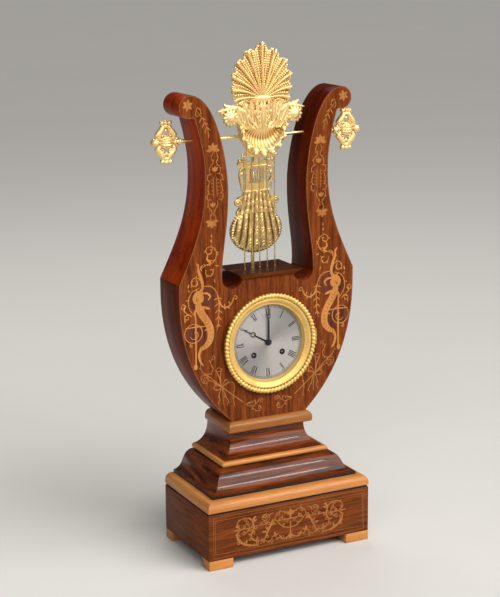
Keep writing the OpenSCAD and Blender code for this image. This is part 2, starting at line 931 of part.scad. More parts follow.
// The leaf body between shell and apron, fluted like a bundle of leaves
module crest_leaf() {
    leaves = 5;
    steps = leaves * rib_steps;
    edge_share = 0.35;
    middle_share = 0.4;
    edge_fall = 0.8;
    fold_share = 0.25;
    rows = [
        for (j = [0:crest_rows]) let (
                t = j / crest_rows,
                w = leaf_w / 2 + (crest_waist_w - leaf_w) / 2 * cos(90 * t)
            )
            [for (i = [0:steps]) let (
                    s = i / steps,
                    u = 2 * s - 1,
                    fold = fold_share * rib(s, leaves) * sin(180 * t)
                )
                [w * u, z_waist + (z_seam - z_waist) * t,
                    crest_relief * (edge_share + middle_share * sqrt(1 - edge_fall * u * u) + fold)]]
    ];
    color(GILT) casting(rows, crest_back);
}

module crest_apron() {
    drop = z_waist - z_apron;
    color(GILT)
        translate([0, 0, 2 * z_waist]) mirror([0, 0, 1])
            casting(
                fan(crest_waist_w / 2, z_waist, apron_w / 2, drop, apron_turn, apron_lobes, apron_scallop),
                crest_back
            );
}

// Leafy arms with a rosette on each side of the leaf body
module crest_scrolls() {
    petals = 8;
    petal_r = 3.2;
    rosette_t = 4;
    arm_low = 6;
    arm_high = 4;
    z_mid = (z_seam + z_waist) / 2;
    inner = bracket_w / 2;
    color(GILT)
        for (side = [0, 1])
            mirror([side, 0, 0]) {
                slab(crest_back, bracket_back)
                    polygon(concat(
                        [[inner, z_mid - arm_low], [inner, z_mid + arm_high]],
                        curve([leaf_w / 2, z_seam - 2], [leaf_w / 2 + 8, z_seam + 4],
                            [rosette_x + 4, z_seam - 8], [rosette_x + 10, z_seam - 2]),
                        curve([rosette_x + 11, z_seam - 6], [rosette_x + 5, z_seam - 14],
                            [leaf_w / 2 + 4, z_mid - 8], [inner, z_mid - arm_low])
                    ));
                translate([rosette_x, 0, z_mid]) slab(crest_back - rosette_t, crest_back)
                    union() {
                        circle(r = rosette_r - petal_r);
                        for (k = [0:petals - 1])
                            rotate(k * 360 / petals) translate([rosette_r - petal_r, 0]) circle(r = petal_r);
                    }
            }
}

// Bracket behind the castings: lugs clasp the cross rod, and a lip holds the strings
module crest_bracket() {
    lip_w = (string_count - 1) * string_pitch + lip_margin;
    color(BRASS)
        difference() {
            union() {
                translate([-bracket_w / 2, bracket_front, z_lip])
                    cube([bracket_w, bracket_t, z_seam + bracket_rise - z_lip]);
                translate([-lip_w / 2, bracket_front, z_lip])
                    cube([lip_w, string_y + string_d - bracket_front, lip_h]);
                for (side = [-1, 1])
                    translate([side * lug_x - lug_w / 2, 0, 0]) {
                        translate([0, rod_y, z_rod]) rotate([0, 90, 0]) cylinder(r = lug_r, h = lug_w);
                        translate([0, bracket_front, z_rod - lug_r])
                            cube([lug_w, rod_y - bracket_front, 2 * lug_r]);
                    }
            }
            translate([-bracket_w, rod_y, z_rod]) rotate([0, 90, 0])
                cylinder(r = rod_r + seat_gap, h = 2 * bracket_w);
        }
}

// Pendulum

// Cock on the cross rod: two cheeks and the pin that the pendulum hangs on
module suspension_cock() {
    roof_gap = 0.6;
    roof_t = 2.4;
    pin_bed = 0.5;
    low = z_rod - lug_r - 1;
    high = z_pivot + eye_r + roof_gap + roof_t;
    color(BRASS)
        union() {
            difference() {
                translate([-cock_w / 2, cock_front, low]) cube([cock_w, cock_back - cock_front, high - low]);
                translate([-cock_w, rod_y, z_rod]) rotate([0, 90, 0])
                    cylinder(r = rod_r + seat_gap, h = 2 * cock_w);
                translate([-cock_w, eye_front - pass_gap, low - 1])
                    cube([2 * cock_w, pendulum_t + 2 * pass_gap, z_pivot + eye_r + roof_gap - low + 1]);
            }
            bar_y([0, z_pivot], pin_r, eye_front - pass_gap - pin_bed, cock_back - pin_bed);
        }
}

// Frame outline: eye, stem, crosshead with knobs, grid window, handles and leaf collar
module pendulum_outline() {
    z_frame = z_window - rail_h;
    frame_h = window_h + 2 * rail_h;
    z_cross = z_frame + frame_h - 1;
    z_handle = z_window + window_h / 2 - 1;
    leaf_pitch = 9;
    leaf_step = 1.2;
    difference() {
        union() {
            translate([0, z_pivot]) circle(r = eye_r);
            translate([-stem_w / 2, z_cross]) square([stem_w, z_pivot - z_cross - eye_r]);
            translate([-pin_r, z_pivot - eye_r - 3]) square([2 * pin_r, 3.2]);
            translate([-frame_w / 2, z_frame]) square([frame_w, frame_h]);
            translate([-frame_w / 2 - crosshead_over, z_cross])
                square([frame_w + 2 * crosshead_over, crosshead_h]);
            for (side = [-1, 1]) {
                translate([side * (frame_w / 2 + knob_over), z_cross + crosshead_h / 2])
                    circle(r = knob_end_r);
                translate([side * frame_w / 2, z_handle]) circle(r = handle_r);
            }
            translate([-collar_neck_w / 2, z_collar]) square([collar_neck_w, z_frame - z_collar + 1]);
            for (k = [-2:2])
                let (r = collar_h / 2 - abs(k) * leaf_step)
                    translate([k * leaf_pitch, z_collar + r]) circle(r = r);
        }
        translate([-window_w / 2, z_window]) square([window_w, window_h]);
        for (side = [-1, 1])
            intersection() {
                translate([side * frame_w / 2, z_handle]) circle(r = handle_r - handle_bar);
                translate([side * (frame_w / 2 + handle_r), z_handle]) square(2 * handle_r, center = true);
            }
        translate([0, z_pivot]) circle(r = pin_r + turn_gap);
        translate([-frame_w, z_collar - collar_h]) square([2 * frame_w, collar_h]);
    }
}

module pendulum_frame() {
    strap_lap = 6;
    strap_end = 4;
    strap_top = z_collar + strap_lap;
    strap_low = z_fork - strap_end;
    color(GILT)
        union() {
            slab(eye_front, eye_back) pendulum_outline();
            translate([-strap_w / 2, eye_back - join_lap, strap_low])
                cube([strap_w, strap_t, strap_top - strap_low]);
            bar_y([0, z_fork], fork_pin_r, eye_back + 1, y_crutch + crutch_t + 1);
        }
}

module gridiron_rods() {
    color(STEEL)
        for (i = [0:rods_in_grid - 1])
            translate([(i - (rods_in_grid - 1) / 2) * window_w / (rods_in_grid + 1), pendulum_y, z_window])
                cylinder(r = grid_rod_r, h = window_h, $fn = 24);
}

// The bob: an oval shell with radiating flutes and a scalloped rim
module pendulum_bob() {
    steps = bob_flutes * rib_steps;
    rings = 6;
    relief = 6;
    hub = 0.12;
    rim_t = 1;
    scallop = 0.05;
    fall = 80;
    dome_share = 0.75;
    rows = [
        for (j = [0:rings]) let (t = j / rings)
            [for (i = [0:steps - 1]) let (
                    s = i / steps,
                    r = hub + (1 - hub) * t,
                    lobe = 1 - scallop * t * (1 - rib(s, bob_flutes)),
                    dome = dome_share * cos(fall * t),
                    flute = (1 - dome_share) * rib(s, bob_flutes) * sin(180 * t)
                )
                [bob_w / 2 * r * lobe * cos(360 * s), z_bob + bob_h / 2 * r * lobe * sin(360 * s),
                    rim_t + (relief - rim_t) * (dome + flute)]]
    ];
    back = eye_back - join_lap;
    points = concat(
        [for (row = rows) for (p = row) [p.x, back - p.z, p.y]],
        [for (p = rows[rings]) [p.x, back, p.y]],
        [[0, back, z_bob]]
    );
    loops = rings + 2;
    middle = loops * steps;
    walls = [
        for (j = [0:loops - 2]) for (i = [0:steps - 1]) let (k = (i + 1) % steps)
            let (a = j * steps, b = a + steps) each [[a + i, a + k, b + k], [a + i, b + k, b + i]]
    ];
    color(GILT)
        polyhedron(points, concat(
            [[for (i = [steps - 1:-1:0]) i]],
            walls,
            [for (i = [0:steps - 1]) [middle, (loops - 1) * steps + i, (loops - 1) * steps + (i + 1) % steps]]
        ));
}

// Dial and bezel

module bezel_seat() {
    rim = bezel_r - seat_reveal;
    color(BRASS)
        turned([0, z_dial])
            polygon([
                [rim - seat_ring_w, lyre_front - seat_ring_t], [rim, lyre_front - seat_ring_t],
                [rim, lyre_front], [rim - seat_ring_w, lyre_front]
            ]);
}

// Outline of the gadrooned rim: shallow round lobes side by side
module gadroon_outline(r, depth) {
    per_lobe = 4;
    polygon([
        for (i = [0:gadroons * per_lobe - 1]) let (a = 360 * i / (gadroons * per_lobe))
            (r - depth * (1 - abs(sin(180 * i / per_lobe)))) * [cos(a), sin(a)]
    ]);
}

module bezel() {
    rim_w = 4;
    rim_in = bezel_r - rim_w;
    rim_drop = 1.2;
    lobe_d = 0.9;
    sight_drop = 3.2;
    slope_drop = 2.8;
    lip_w = 1.5;
    crown_w = 2;
    groove = [1, 1.3];
    color(GILT)
        difference() {
            union() {
                translate([0, 0, z_dial])
                    slab(bezel_front + rim_drop, bezel_back) gadroon_outline(bezel_r, lobe_d);
                turned([0, z_dial])
                    polygon([
                        [sight_r, bezel_back], [sight_r, bezel_front + sight_drop],
                        [sight_r + lip_w, bezel_front + slope_drop], [rim_in - crown_w, bezel_front],
                        [rim_in, bezel_front], [rim_in + groove.x, bezel_front + groove.y],
                        [rim_in + groove.x, bezel_back]
                    ]);
                hinge_knuckle(bezel_axis, bezel_r, 1);
            }
            bar_y([0, z_dial], sight_r, bezel_front - 1, bezel_back + 1);
            bar_y([0, z_dial], glass_r + seat_gap, bezel_back - glass_t, bezel_back + 1);
            hinge_bore(bezel_axis);
        }
}

module bezel_glass() {
    color([0.85, 0.92, 0.95, 0.35])
        bar_y([0, z_dial], glass_r, bezel_back - glass_t, bezel_back);
}

// Fixed half of a hinge on a wall: pin, two end knuckles and a leaf that reaches to one side
module hinge_half(at, wall, out, leaf_w) {
    total = hinge_mid + 2 * (hinge_end + pass_gap);
    facing = sign(at.y - wall);
    translate([at.x, at.y, z_dial - total / 2]) cylinder(r = hinge_pin_r, h = total);
    for (s = [-1, 1])
        translate([at.x, at.y, z_dial + s * (total - hinge_end) / 2 - hinge_end / 2]) {
            cylinder(r = hinge_r, h = hinge_end);
            mirror([out < 0 ? 1 : 0, 0, 0]) mirror([0, facing > 0 ? 1 : 0, 0])
                cube([hinge_r, abs(at.y - wall), hinge_end]);
        }
    translate([at.x, wall, z_dial - total / 2])
        mirror([out < 0 ? 1 : 0, 0, 0]) mirror([0, facing < 0 ? 1 : 0, 0])
            cube([leaf_w, hinge_leaf_t, total]);
}

// Moving knuckle of a hinge and the web that joins it to a round door of radius r
module hinge_knuckle(at, r, out) {
    translate([at.x, at.y, z_dial - hinge_mid / 2]) cylinder(r = hinge_r, h = hinge_mid);
    web_lap = 3;
    translate([out * (r - web_lap), at.y - hinge_r, z_dial - hinge_mid / 2])
        mirror([out < 0 ? 1 : 0, 0, 0]) cube([abs(at.x) - r + web_lap, hinge_r, hinge_mid]);
}

module hinge_bore(at) {
    translate([at.x, at.y, z_dial - hinge_mid]) cylinder(r = hinge_pin_r + turn_gap, h = 2 * hinge_mid);
}

module bezel_hinge() {
    color(BRASS) union() hinge_half(bezel_axis, lyre_front, -1, bezel_leaf_w);
}

module dial() {
    feet_r = 38;
    foot_pin_r = 1.2;
    centre_hole_r = 3.4;
    color(SILVERED)
        difference() {
            union() {
                bar_y([0, z_dial], dial_r, dial_front, dial_back);
                for (a = [30, 150, 270])
                    bar_y(from_dial(feet_r * [cos(a), sin(a)]), foot_pin_r,
                        dial_back - join_lap, plate_front);
            }
            bar_y([0, z_dial], centre_hole_r, dial_front - 1, dial_back + 1);
            for (p = [GOING, STRIKE])
                bar_y(from_dial(p), wind_r, dial_front - 1, dial_back + 1);
        }
}

// A tapered hand with a pierced moon and a slim tip, pointing up
module hand_outline(length, moon_at, moon_r, hub_r) {
    foot_half = 1.2;
    neck_w = 1.1;
    moon_lap = 0.5;
    moon_rise = 0.3;
    moon_wall = 0.8;
    difference() {
        union() {
            circle(r = hub_r);
            polygon([
                [-foot_half, 0], [foot_half, 0],
                [neck_w / 2, moon_at - moon_r + moon_lap], [-neck_w / 2, moon_at - moon_r + moon_lap]
            ]);
            translate([0, moon_at]) circle(r = moon_r);
            polygon([
                [-foot_half, moon_at + moon_r - moon_lap],
                [foot_half, moon_at + moon_r - moon_lap], [0, length]
            ]);
        }
        translate([0, moon_at + moon_rise]) circle(r = moon_r - moon_wall);
    }
}

hour_turn = 60;
pipe_r = 2.5;
cannon_r = 1.6;
minute_tip = 11;
minute_moon_r = 2.3;
minute_hub_r = 3.2;
hour_tip = 8;
hour_moon_r = 2.6;
hour_hub_r = 4;

module minute_hand() {
    color(BLUED)
        difference() {
            translate([0, 0, z_dial]) slab(minute_front, minute_front + hand_t)
                hand_outline(minute_len, minute_len - minute_tip, minute_moon_r, minute_hub_r);
            bar_y([0, z_dial], cannon_r + seat_gap, minute_front - 1, dial_front);
        }
}

module hour_hand() {
    color(BLUED)
        difference() {
            translate([0, 0, z_dial]) slab(hour_front, hour_front + hand_t)
                rotate(hour_turn) hand_outline(hour_len, hour_len - hour_tip, hour_moon_r, hour_hub_r);
            bar_y([0, z_dial], pipe_r + seat_gap, hour_front - 1, dial_front);
        }
}

// Movement

module movement_ring() {
    color(BRASS)
        difference() {
            bar_y([0, z_dial], bore_r - seat_gap, train_front, train_front + ring_t);
            bar_y([0, z_dial], plate_r - ring_ledge, train_front - 1, train_front + ring_t + 1);
        }
}

// Places of the arbors that both plates carry
PIVOTS = [INTER, ESCAPE, ANCHOR, THIRD, PIN, FLY];

module front_plate() {
    color(BRASS)
        difference() {
            bar_y([0, z_dial], plate_r, plate_front, train_front);
            for (p = PIVOTS)
                bar_y(from_dial(p), pivot_r + turn_gap, plate_front - 1, train_front + 1);
            bar_y([0, z_dial], centre_arbor_r + turn_gap, plate_front - 1, train_front + 1);
            for (p = [GOING, STRIKE])
                bar_y(from_dial(p), wind_arbor_r + turn_gap, plate_front - 1, train_front + 1);
            bar_y(from_dial(MINUTE), stud_r + turn_gap, plate_front - 1, train_front + 1);
        }
}

module back_plate() {
    color(BRASS)
        difference() {
            union() {
                bar_y([0, z_dial], plate_r, train_back, plate_back);
                bar_y(from_dial(BELL), bell_post_r, plate_back - join_lap, y_bell + bell_d - bell_wall);
                bar_y(from_dial(HAMMER), hammer_stud_r, plate_back - join_lap, y_hammer + hammer_hub_t + 1);
            }
            for (p = [INTER, ESCAPE, THIRD, PIN, FLY, CENTRE])
                bar_y(from_dial(p), pivot_r + turn_gap, train_back - 1, plate_back + 1);
            bar_y(from_dial(ANCHOR), arbor_r + pass_gap, train_back - 1, plate_back + 1);
            for (p = [GOING, STRIKE])
                bar_y(from_dial(p), wind_arbor_r + turn_gap, train_back - 1, plate_back + 1);
        }
}

module pillars() {
    waist_r = 1.8;
    end_h = 2;
    taper_h = 5;
    color(BRASS)
        for (p = PILLARS)
            turned(from_dial(p))
                polygon([
                    [0, train_front], [pillar_r, train_front], [pillar_r, train_front + end_h],
                    [waist_r, train_front + taper_h], [waist_r, train_back - taper_h],
                    [pillar_r, train_back - end_h], [pillar_r, train_back], [0, train_back]
                ]);
}

// Toothed outline: n straight-flanked teeth of module m, one tooth pointing along turn
module teeth(n, m, turn) {
    addendum = 0.62;
    dedendum = 0.9;
    root_share = 0.267;
    tip_share = 0.094;
    tip_r = m * (n / 2 + addendum);
    root_r = m * (n / 2 - dedendum);
    root = root_share * 360 / n;
    tip = tip_share * 360 / n;
    polygon([
        for (i = [0:n - 1]) for (k = [[-root, root_r], [-tip, tip_r], [tip, tip_r], [root, root_r]])
            let (a = turn + 360 * i / n + k[0]) k[1] * [cos(a), sin(a)]
    ]);
}

// A gear on an arbor at a place p of the plates
module gear(p, n, m, turn, y0, y1) {
    translate([p.x, 0, z_dial + p.y]) slab(y0, y1) teeth(n, m, turn);
}

// A plain arbor with a pivot at each plate
module arbor(p) {
    bar_y(from_dial(p), arbor_r, train_front + end_shake, train_back - end_shake);
    bar_y(from_dial(p), pivot_r, plate_front + end_shake, plate_back - end_shake);
}

// Turns of the meshed wheels at rest
great_turn = 0;
inter_pin_turn = mesh_turn(great_n, great_turn, inter_pin_n, direction(GOING, INTER));
inter_turn = inter_pin_turn;
centre_pin_turn = mesh_turn(inter_n, inter_turn, centre_pin_n, direction(INTER, CENTRE));
centre_turn = centre_pin_turn;
third_pin_turn = mesh_turn(centre_n, centre_turn, third_pin_n, direction(CENTRE, THIRD));
third_turn = third_pin_turn;
escape_pin_turn = mesh_turn(third_n, third_turn, escape_pin_n, direction(THIRD, ESCAPE));
pin_turn = mesh_turn(great_n, great_turn, inter_pin_n, direction(STRIKE, PIN));
fly_turn = mesh_turn(inter_n, pin_turn, fly_pin_n, direction(PIN, FLY));
minute_turn = mesh_turn(cannon_n, 0, minute_n, direction(CENTRE, MINUTE));
hour_wheel_turn = mesh_turn(minute_pin_n, minute_turn, hour_n, direction(MINUTE, CENTRE));

// A spring barrel: drum, cap and great wheel, running on its winding arbor
module barrel(p) {
    tooth_room = 1.6;
    drum_r = great_m * great_n / 2 - tooth_room;
    difference() {
        union() {
            bar_y(from_dial(p), drum_r, y_drum, y_great + join_lap);
            gear(p, great_n, great_m, great_turn, y_great, y_great + great_t);
        }
        bar_y(from_dial(p), wind_arbor_r + turn_gap, y_drum - 1, y_great + great_t + 1);
    }
}

// A winding arbor: square end for the key, ratchet wheel and plain pivots
module winding_arbor(p) {
    square_r = wind_arbor_r - join_lap;
    square_front = dial_front + pass_gap;
    ratchet_t = 1.4;
    tooth_h = 1;
    undercut = 0.25;
    bar_y(from_dial(p), wind_arbor_r, plate_front - end_shake - ratchet_t, plate_back - end_shake);
    translate([p.x, square_front, z_dial + p.y]) rotate([-90, 0, 0])
        cylinder(r = square_r, h = plate_front - square_front - ratchet_t, $fn = 4);
    translate([p.x, 0, z_dial + p.y]) slab(plate_front - end_shake - ratchet_t, plate_front - end_shake)
        polygon([
            for (i = [0:ratchet_n - 1]) for (k = [[0, ratchet_r], [undercut, ratchet_r - tooth_h]])
                let (a = 360 * (i + k[0]) / ratchet_n) k[1] * [cos(a), sin(a)]
        ]);
}

module going_barrel() {
    color(BRASS) barrel(GOING);
}

module strike_barrel() {
    color(BRASS) barrel(STRIKE);
}

module going_arbor() {
    color(STEEL) union() winding_arbor(GOING);
}

module strike_arbor() {
    color(STEEL) union() winding_arbor(STRIKE);
}

module intermediate_wheel() {
    color(BRASS)
        union() {
            arbor(INTER);
            gear(INTER, inter_pin_n, great_m, inter_pin_turn, y_great - pinion_over, y_inter + join_lap);
            gear(INTER, inter_n, inter_m, inter_turn, y_inter, y_inter + wheel_t);
        }
}

// The centre arbor reaches forward through the plate to carry the cannon pinion
module centre_wheel() {
    color(BRASS)
        union() {
            bar_y([0, z_dial], centre_arbor_r, minute_front + 2 * end_shake, train_back - end_shake);
            bar_y([0, z_dial], pivot_r, train_back - 1, plate_back - end_shake);
            gear(CENTRE, centre_n, centre_m, centre_turn, y_centre_wheel, y_centre_wheel + wheel_t);
            gear(CENTRE, centre_pin_n, inter_m, centre_pin_turn,
                y_inter - pinion_over, y_inter + wheel_t + pinion_over);
        }
}

module third_wheel() {
    color(BRASS)
        union() {
            arbor(THIRD);
            gear(THIRD, third_pin_n, centre_m, third_pin_turn,
                y_centre_wheel - pinion_over, y_third + join_lap);
            gear(THIRD, third_n, third_m, third_turn, y_third, y_third + wheel_t);
        }
}

module escape_wheel() {
    tooth_h = 1.3;
    undercut = 0.3;
    color(BRASS)
        union() {
            arbor(ESCAPE);
            gear(ESCAPE, escape_pin_n, third_m, escape_pin_turn,
                y_third - pinion_over, y_third + wheel_t + pinion_over);
            translate([ESCAPE.x, 0, z_dial + ESCAPE.y]) slab(y_escape, y_escape + escape_t)
                polygon([
                    for (i = [0:escape_n - 1]) for (k = [[0, escape_r], [undercut, escape_r - tooth_h]])
                        let (a = 360 * (i + k[0]) / escape_n) k[1] * [cos(a), sin(a)]
                ]);
        }
}

// Anchor with two pallets that stand clear of the escape wheel's teeth
module anchor() {
    span = 50;
    drop = ANCHOR.y - ESCAPE.y;
    pallet_gap = 1.2;
    clear_r = escape_r + pallet_gap;
    hub = 2.2;
    side_over = 0.5;
    tip = clear_r * [sin(span), cos(span)] - [0, drop];
    color(STEEL)
        union() {
            bar_y(from_dial(ANCHOR), arbor_r, train_front + end_shake, y_cock + cock_arm_t - end_shake);
            bar_y(from_dial(ANCHOR), pivot_r, plate_front + end_shake, train_front + 1);
            translate([ANCHOR.x, 0, z_dial + ANCHOR.y])
                slab(y_escape - side_over, y_escape + escape_t + side_over) {
                    circle(r = hub);
                    for (side = [-1, 1])
                        polygon([
                            [0, 1.8], [side * (tip.x + 1.6), tip.y + 2.4],
                            [side * (tip.x + 1.4), tip.y - 0.8], [side * tip.x, tip.y],
                            [side * (tip.x - 0.6), tip.y + 1.6], [0, -1]
                        ]);
                }
        }
}

// Crutch: a steel bar rising from the anchor's arbor to a fork round the pendulum's pin
module crutch() {
    hub_r = 3;
    low = z_dial + ANCHOR.y;
    fork_half = fork_pin_r + pass_gap;
    z_slot = z_fork - fork_len / 2;
    color(STEEL)
        difference() {
            union() {
                bar_y(from_dial(ANCHOR), hub_r, y_crutch, y_crutch + crutch_t);
                translate([-crutch_w / 2, y_crutch, low]) cube([crutch_w, crutch_t, z_slot - low]);
                translate([-fork_half - fork_bar, y_crutch, z_slot - 2])
                    cube([2 * (fork_half + fork_bar), crutch_t, fork_len + 2]);
            }
            translate([-fork_half, y_crutch - 1, z_slot])
                cube([2 * fork_half, crutch_t + 2, fork_len + 1]);
            bar_y(from_dial(ANCHOR), arbor_r + seat_gap, y_crutch - 1, y_crutch + crutch_t + 1);
        }
}

// Cock that carries the anchor's rear pivot behind the back plate
module back_cock() {
    post_x = 9;
    post_w = 5;
    arm_h = 7;
    drop = 4;
    low = z_dial + ANCHOR.y - drop;
    color(BRASS)
        difference() {
            union() {
                translate([-post_x - post_w / 2, y_cock, low]) cube([2 * post_x + post_w, cock_arm_t, arm_h]);
                for (side = [-1, 1])
                    translate([side * post_x - post_w / 2, plate_back, low])
                        cube([post_w, y_cock - plate_back + join_lap, arm_h]);
            }
            bar_y(from_dial(ANCHOR), arbor_r + turn_gap, y_cock - 1, y_cock + cock_arm_t + 1);
        }
}

// Cannon pinion with the collet that holds the minute hand
module cannon_pinion() {
    collet_r = 2.8;
    collet_edge = 0.3;
    cannon_len = 2;
    color(STEEL)
        difference() {
            union() {
                bar_y([0, z_dial], cannon_r, nut_front, plate_front - pass_gap);
                turned([0, z_dial])
                    polygon([
                        [0, nut_front], [collet_r - collet_edge, nut_front],
                        [collet_r, nut_front + collet_edge], [collet_r, minute_front], [0, minute_front]
                    ]);
                gear(CENTRE, cannon_n, motion_m, 0,
                    plate_front - pass_gap - cannon_len, plate_front - pass_gap);
            }
            bar_y([0, z_dial], centre_arbor_r + turn_gap, minute_front + end_shake, plate_front + 1);
        }
}

module minute_wheel() {
    color(BRASS)
        union() {
            gear(MINUTE, minute_n, motion_m, minute_turn, y_minute, y_minute + wheel_t);
            gear(MINUTE, minute_pin_n, hour_m, minute_turn, y_hour - pinion_over, y_minute + join_lap);
            bar_y(from_dial(MINUTE), stud_r, y_minute, train_front - end_shake);
        }
}

module hour_wheel() {
    color(BRASS)
        difference() {
            union() {
                gear(CENTRE, hour_n, hour_m, hour_wheel_turn, y_hour, y_hour + wheel_t);
                bar_y([0, z_dial], pipe_r, hour_front, y_hour + wheel_t);
            }
            bar_y([0, z_dial], cannon_r + turn_gap, hour_front - 1, plate_front);
        }
}

module pin_wheel() {
    pins = 8;
    pin_circle = 9;
    lift_pin_r = 0.5;
    lift_pin_len = 0.8;
    color(BRASS)
        union() {
            arbor(PIN);
            gear(PIN, inter_pin_n, great_m, pin_turn, y_great - pinion_over, y_inter + join_lap);
            gear(PIN, inter_n, inter_m, pin_turn, y_inter, y_inter + wheel_t);
            for (k = [0:pins - 1])
                let (a = 360 * k / pins)
                    bar_y(from_dial(PIN + pin_circle * [cos(a), sin(a)]), lift_pin_r,
                        y_inter - lift_pin_len, y_inter + join_lap);
        }
}

module fly() {
    blade_r = 6;
    blade_len = 8;
    blade_t = 0.8;
    blade_gap = 1;
    color(BRASS)
        union() {
            arbor(FLY);
            gear(FLY, fly_pin_n, inter_m, fly_turn, y_inter - pinion_over, y_inter + wheel_t + pinion_over);
            translate([FLY.x - blade_r, y_third + wheel_t + blade_gap, z_dial + FLY.y - blade_t / 2])
                cube([2 * blade_r, blade_len, blade_t]);
        }
}

// A hollow bell, its mouth towards the plate
module bell() {
    shoulder = 8;
    bore = bell_post_r + seat_gap;
    bell_steps = 8;
    depth = y_bell + bell_d;
    round_c = [bell_r - bell_wall - shoulder, depth - bell_wall - shoulder];
    color(BRASS)
        turned(from_dial(BELL))
            polygon(concat(
                [[bore, depth], [bore, depth - bell_wall]],
                arc(round_c, shoulder, 90, 0, bell_steps),
                [[bell_r - bell_wall, y_bell], [bell_r, y_bell]],
                arc(round_c, shoulder + bell_wall, 0, 90, bell_steps)
            ));
}

module hammer() {
    lean = -99.2;
    shank_w = 1.8;
    shank_t = 2;
    head_over = 1;
    head = hammer_len * [cos(lean), sin(lean)];
    color(STEEL)
        difference() {
            union() {
                bar_y(from_dial(HAMMER), hammer_hub_r, y_hammer, y_hammer + hammer_hub_t);
                translate([HAMMER.x, 0, z_dial + HAMMER.y])
                    slab(y_hammer + (hammer_hub_t - shank_t) / 2, y_hammer + (hammer_hub_t + shank_t) / 2)
                        rotate(lean) translate([0, -shank_w / 2]) square([hammer_len, shank_w]);
                bar_y(from_dial(HAMMER + head), hammer_r,
                    y_hammer - head_over, y_hammer + hammer_hub_t + head_over);
            }
            bar_y(from_dial(HAMMER), hammer_stud_r + turn_gap, y_hammer - 2, y_hammer + hammer_hub_t + 2);
        }
}

// Round door over the movement at the back, with a raised rim and a pull
module back_door() {
    door_back = door_front + door_t;
    rim_w = 4;
    rim_h = 0.8;
    pull_in = 8;
    pull_stem_r = 1.5;
    pull_r = 2.8;
    pull_h = 4.5;
    pull_t = 2;
    color(BRASS)
        difference() {
            union() {
                turned([0, z_dial])
                    polygon([
                        [0, door_front], [door_r, door_front], [door_r, door_back],
                        [door_r - rim_w / 2, door_back + rim_h], [door_r - rim_w, door_back], [0, door_back]
                    ]);
                bar_y([door_r - pull_in, z_dial], pull_stem_r, door_back - join_lap, door_back + pull_h);
                bar_y([door_r - pull_in, z_dial], pull_r, door_back + pull_h - pull_t, door_back + pull_h);
                hinge_knuckle(door_axis, door_r, -1);
            }
            hinge_bore(door_axis);
        }
}

module back_hinge() {
    color(BRASS) union() hinge_half(door_axis, lyre_back, -1, door_leaf_w);
}

feet();
base_box();
ebony_strip();
base_moulding();
ogee_fillet();
ogee_moulding();
bead_moulding();
cavetto_moulding();
plinth_core();
cap_moulding();
lyre_bowl();
left_arm();
right_arm();
arm_dowels();
front_veneer();
string_shelf();
strings();
cross_rod();
left_finial();
right_finial();
crest_shell();
crest_leaf();
crest_apron();
crest_scrolls();
crest_bracket();
suspension_cock();
pendulum_frame();
gridiron_rods();
pendulum_bob();
bezel_seat();
bezel();
bezel_glass();
bezel_hinge();
dial();
minute_hand();
hour_hand();
movement_ring();
front_plate();
back_plate();
pillars();
going_barrel();
going_arbor();
strike_barrel();
strike_arbor();
intermediate_wheel();
centre_wheel();
third_wheel();
escape_wheel();
anchor();
crutch();
back_cock();
cannon_pinion();
minute_wheel();
hour_wheel();
pin_wheel();
fly();
bell();
hammer();
back_door();
back_hinge();
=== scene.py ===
"""Lyre mantel clock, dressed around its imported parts: veneered case, gilt mounts, dial and pendulum."""

from __future__ import annotations

import json
import logging
from contextlib import contextmanager
from dataclasses import dataclass
from enum import Enum
from math import asin, atan2, cos, degrees, exp, hypot, pi, radians, sin, sqrt
from typing import Callable, Iterator, Sequence

import bpy
import numpy as np
from mathutils import Matrix, Vector

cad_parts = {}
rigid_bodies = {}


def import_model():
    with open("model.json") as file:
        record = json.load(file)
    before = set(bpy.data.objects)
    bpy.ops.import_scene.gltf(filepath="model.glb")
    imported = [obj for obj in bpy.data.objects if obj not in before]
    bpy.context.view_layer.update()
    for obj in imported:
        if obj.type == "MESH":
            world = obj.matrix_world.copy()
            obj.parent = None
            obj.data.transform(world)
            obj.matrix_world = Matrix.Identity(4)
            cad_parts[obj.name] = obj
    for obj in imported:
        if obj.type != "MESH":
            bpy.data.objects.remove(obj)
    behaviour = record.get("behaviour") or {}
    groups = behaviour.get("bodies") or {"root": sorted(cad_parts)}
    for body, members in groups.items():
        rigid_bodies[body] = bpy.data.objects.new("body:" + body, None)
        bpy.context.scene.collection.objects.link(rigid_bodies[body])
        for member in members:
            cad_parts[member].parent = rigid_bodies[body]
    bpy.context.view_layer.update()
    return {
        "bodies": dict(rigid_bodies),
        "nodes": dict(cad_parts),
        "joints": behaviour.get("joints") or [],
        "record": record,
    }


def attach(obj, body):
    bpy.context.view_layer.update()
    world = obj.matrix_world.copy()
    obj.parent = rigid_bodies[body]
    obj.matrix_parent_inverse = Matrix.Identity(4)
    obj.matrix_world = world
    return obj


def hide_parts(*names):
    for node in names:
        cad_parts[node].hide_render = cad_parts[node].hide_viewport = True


LOG = logging.getLogger("lyre_clock")
MM = 0.001
Point = tuple[float, float]
Triple = tuple[float, float, float]
Row = tuple[float, ...]
Colour = Triple
Obj = bpy.types.Object
Mat = bpy.types.Material
Socket = bpy.types.NodeSocket
Place = Callable[[float, float], Sequence[float]]


class Body(Enum):
    """Rigid bodies that the visible pieces ride on."""

    CASE = "case"
    BEZEL = "bezel_door"
    PENDULUM = "pendulum"
    MINUTE = "minute_train"
    HOUR = "hour_train"


class Grain(Enum):
    """Direction of the wood's grain, as the stretch of its pattern along X, Y and Z."""

    UPRIGHT = (1.0, 1.0, 0.05)
    LEVEL = (0.06, 0.09, 1.0)


class Axis(Enum):
    """The axis that a turned piece or a ring lies on."""

    X = "X"
    Y = "Y"
    Z = "Z"


# Workbench: selecting, shaping and finishing meshes


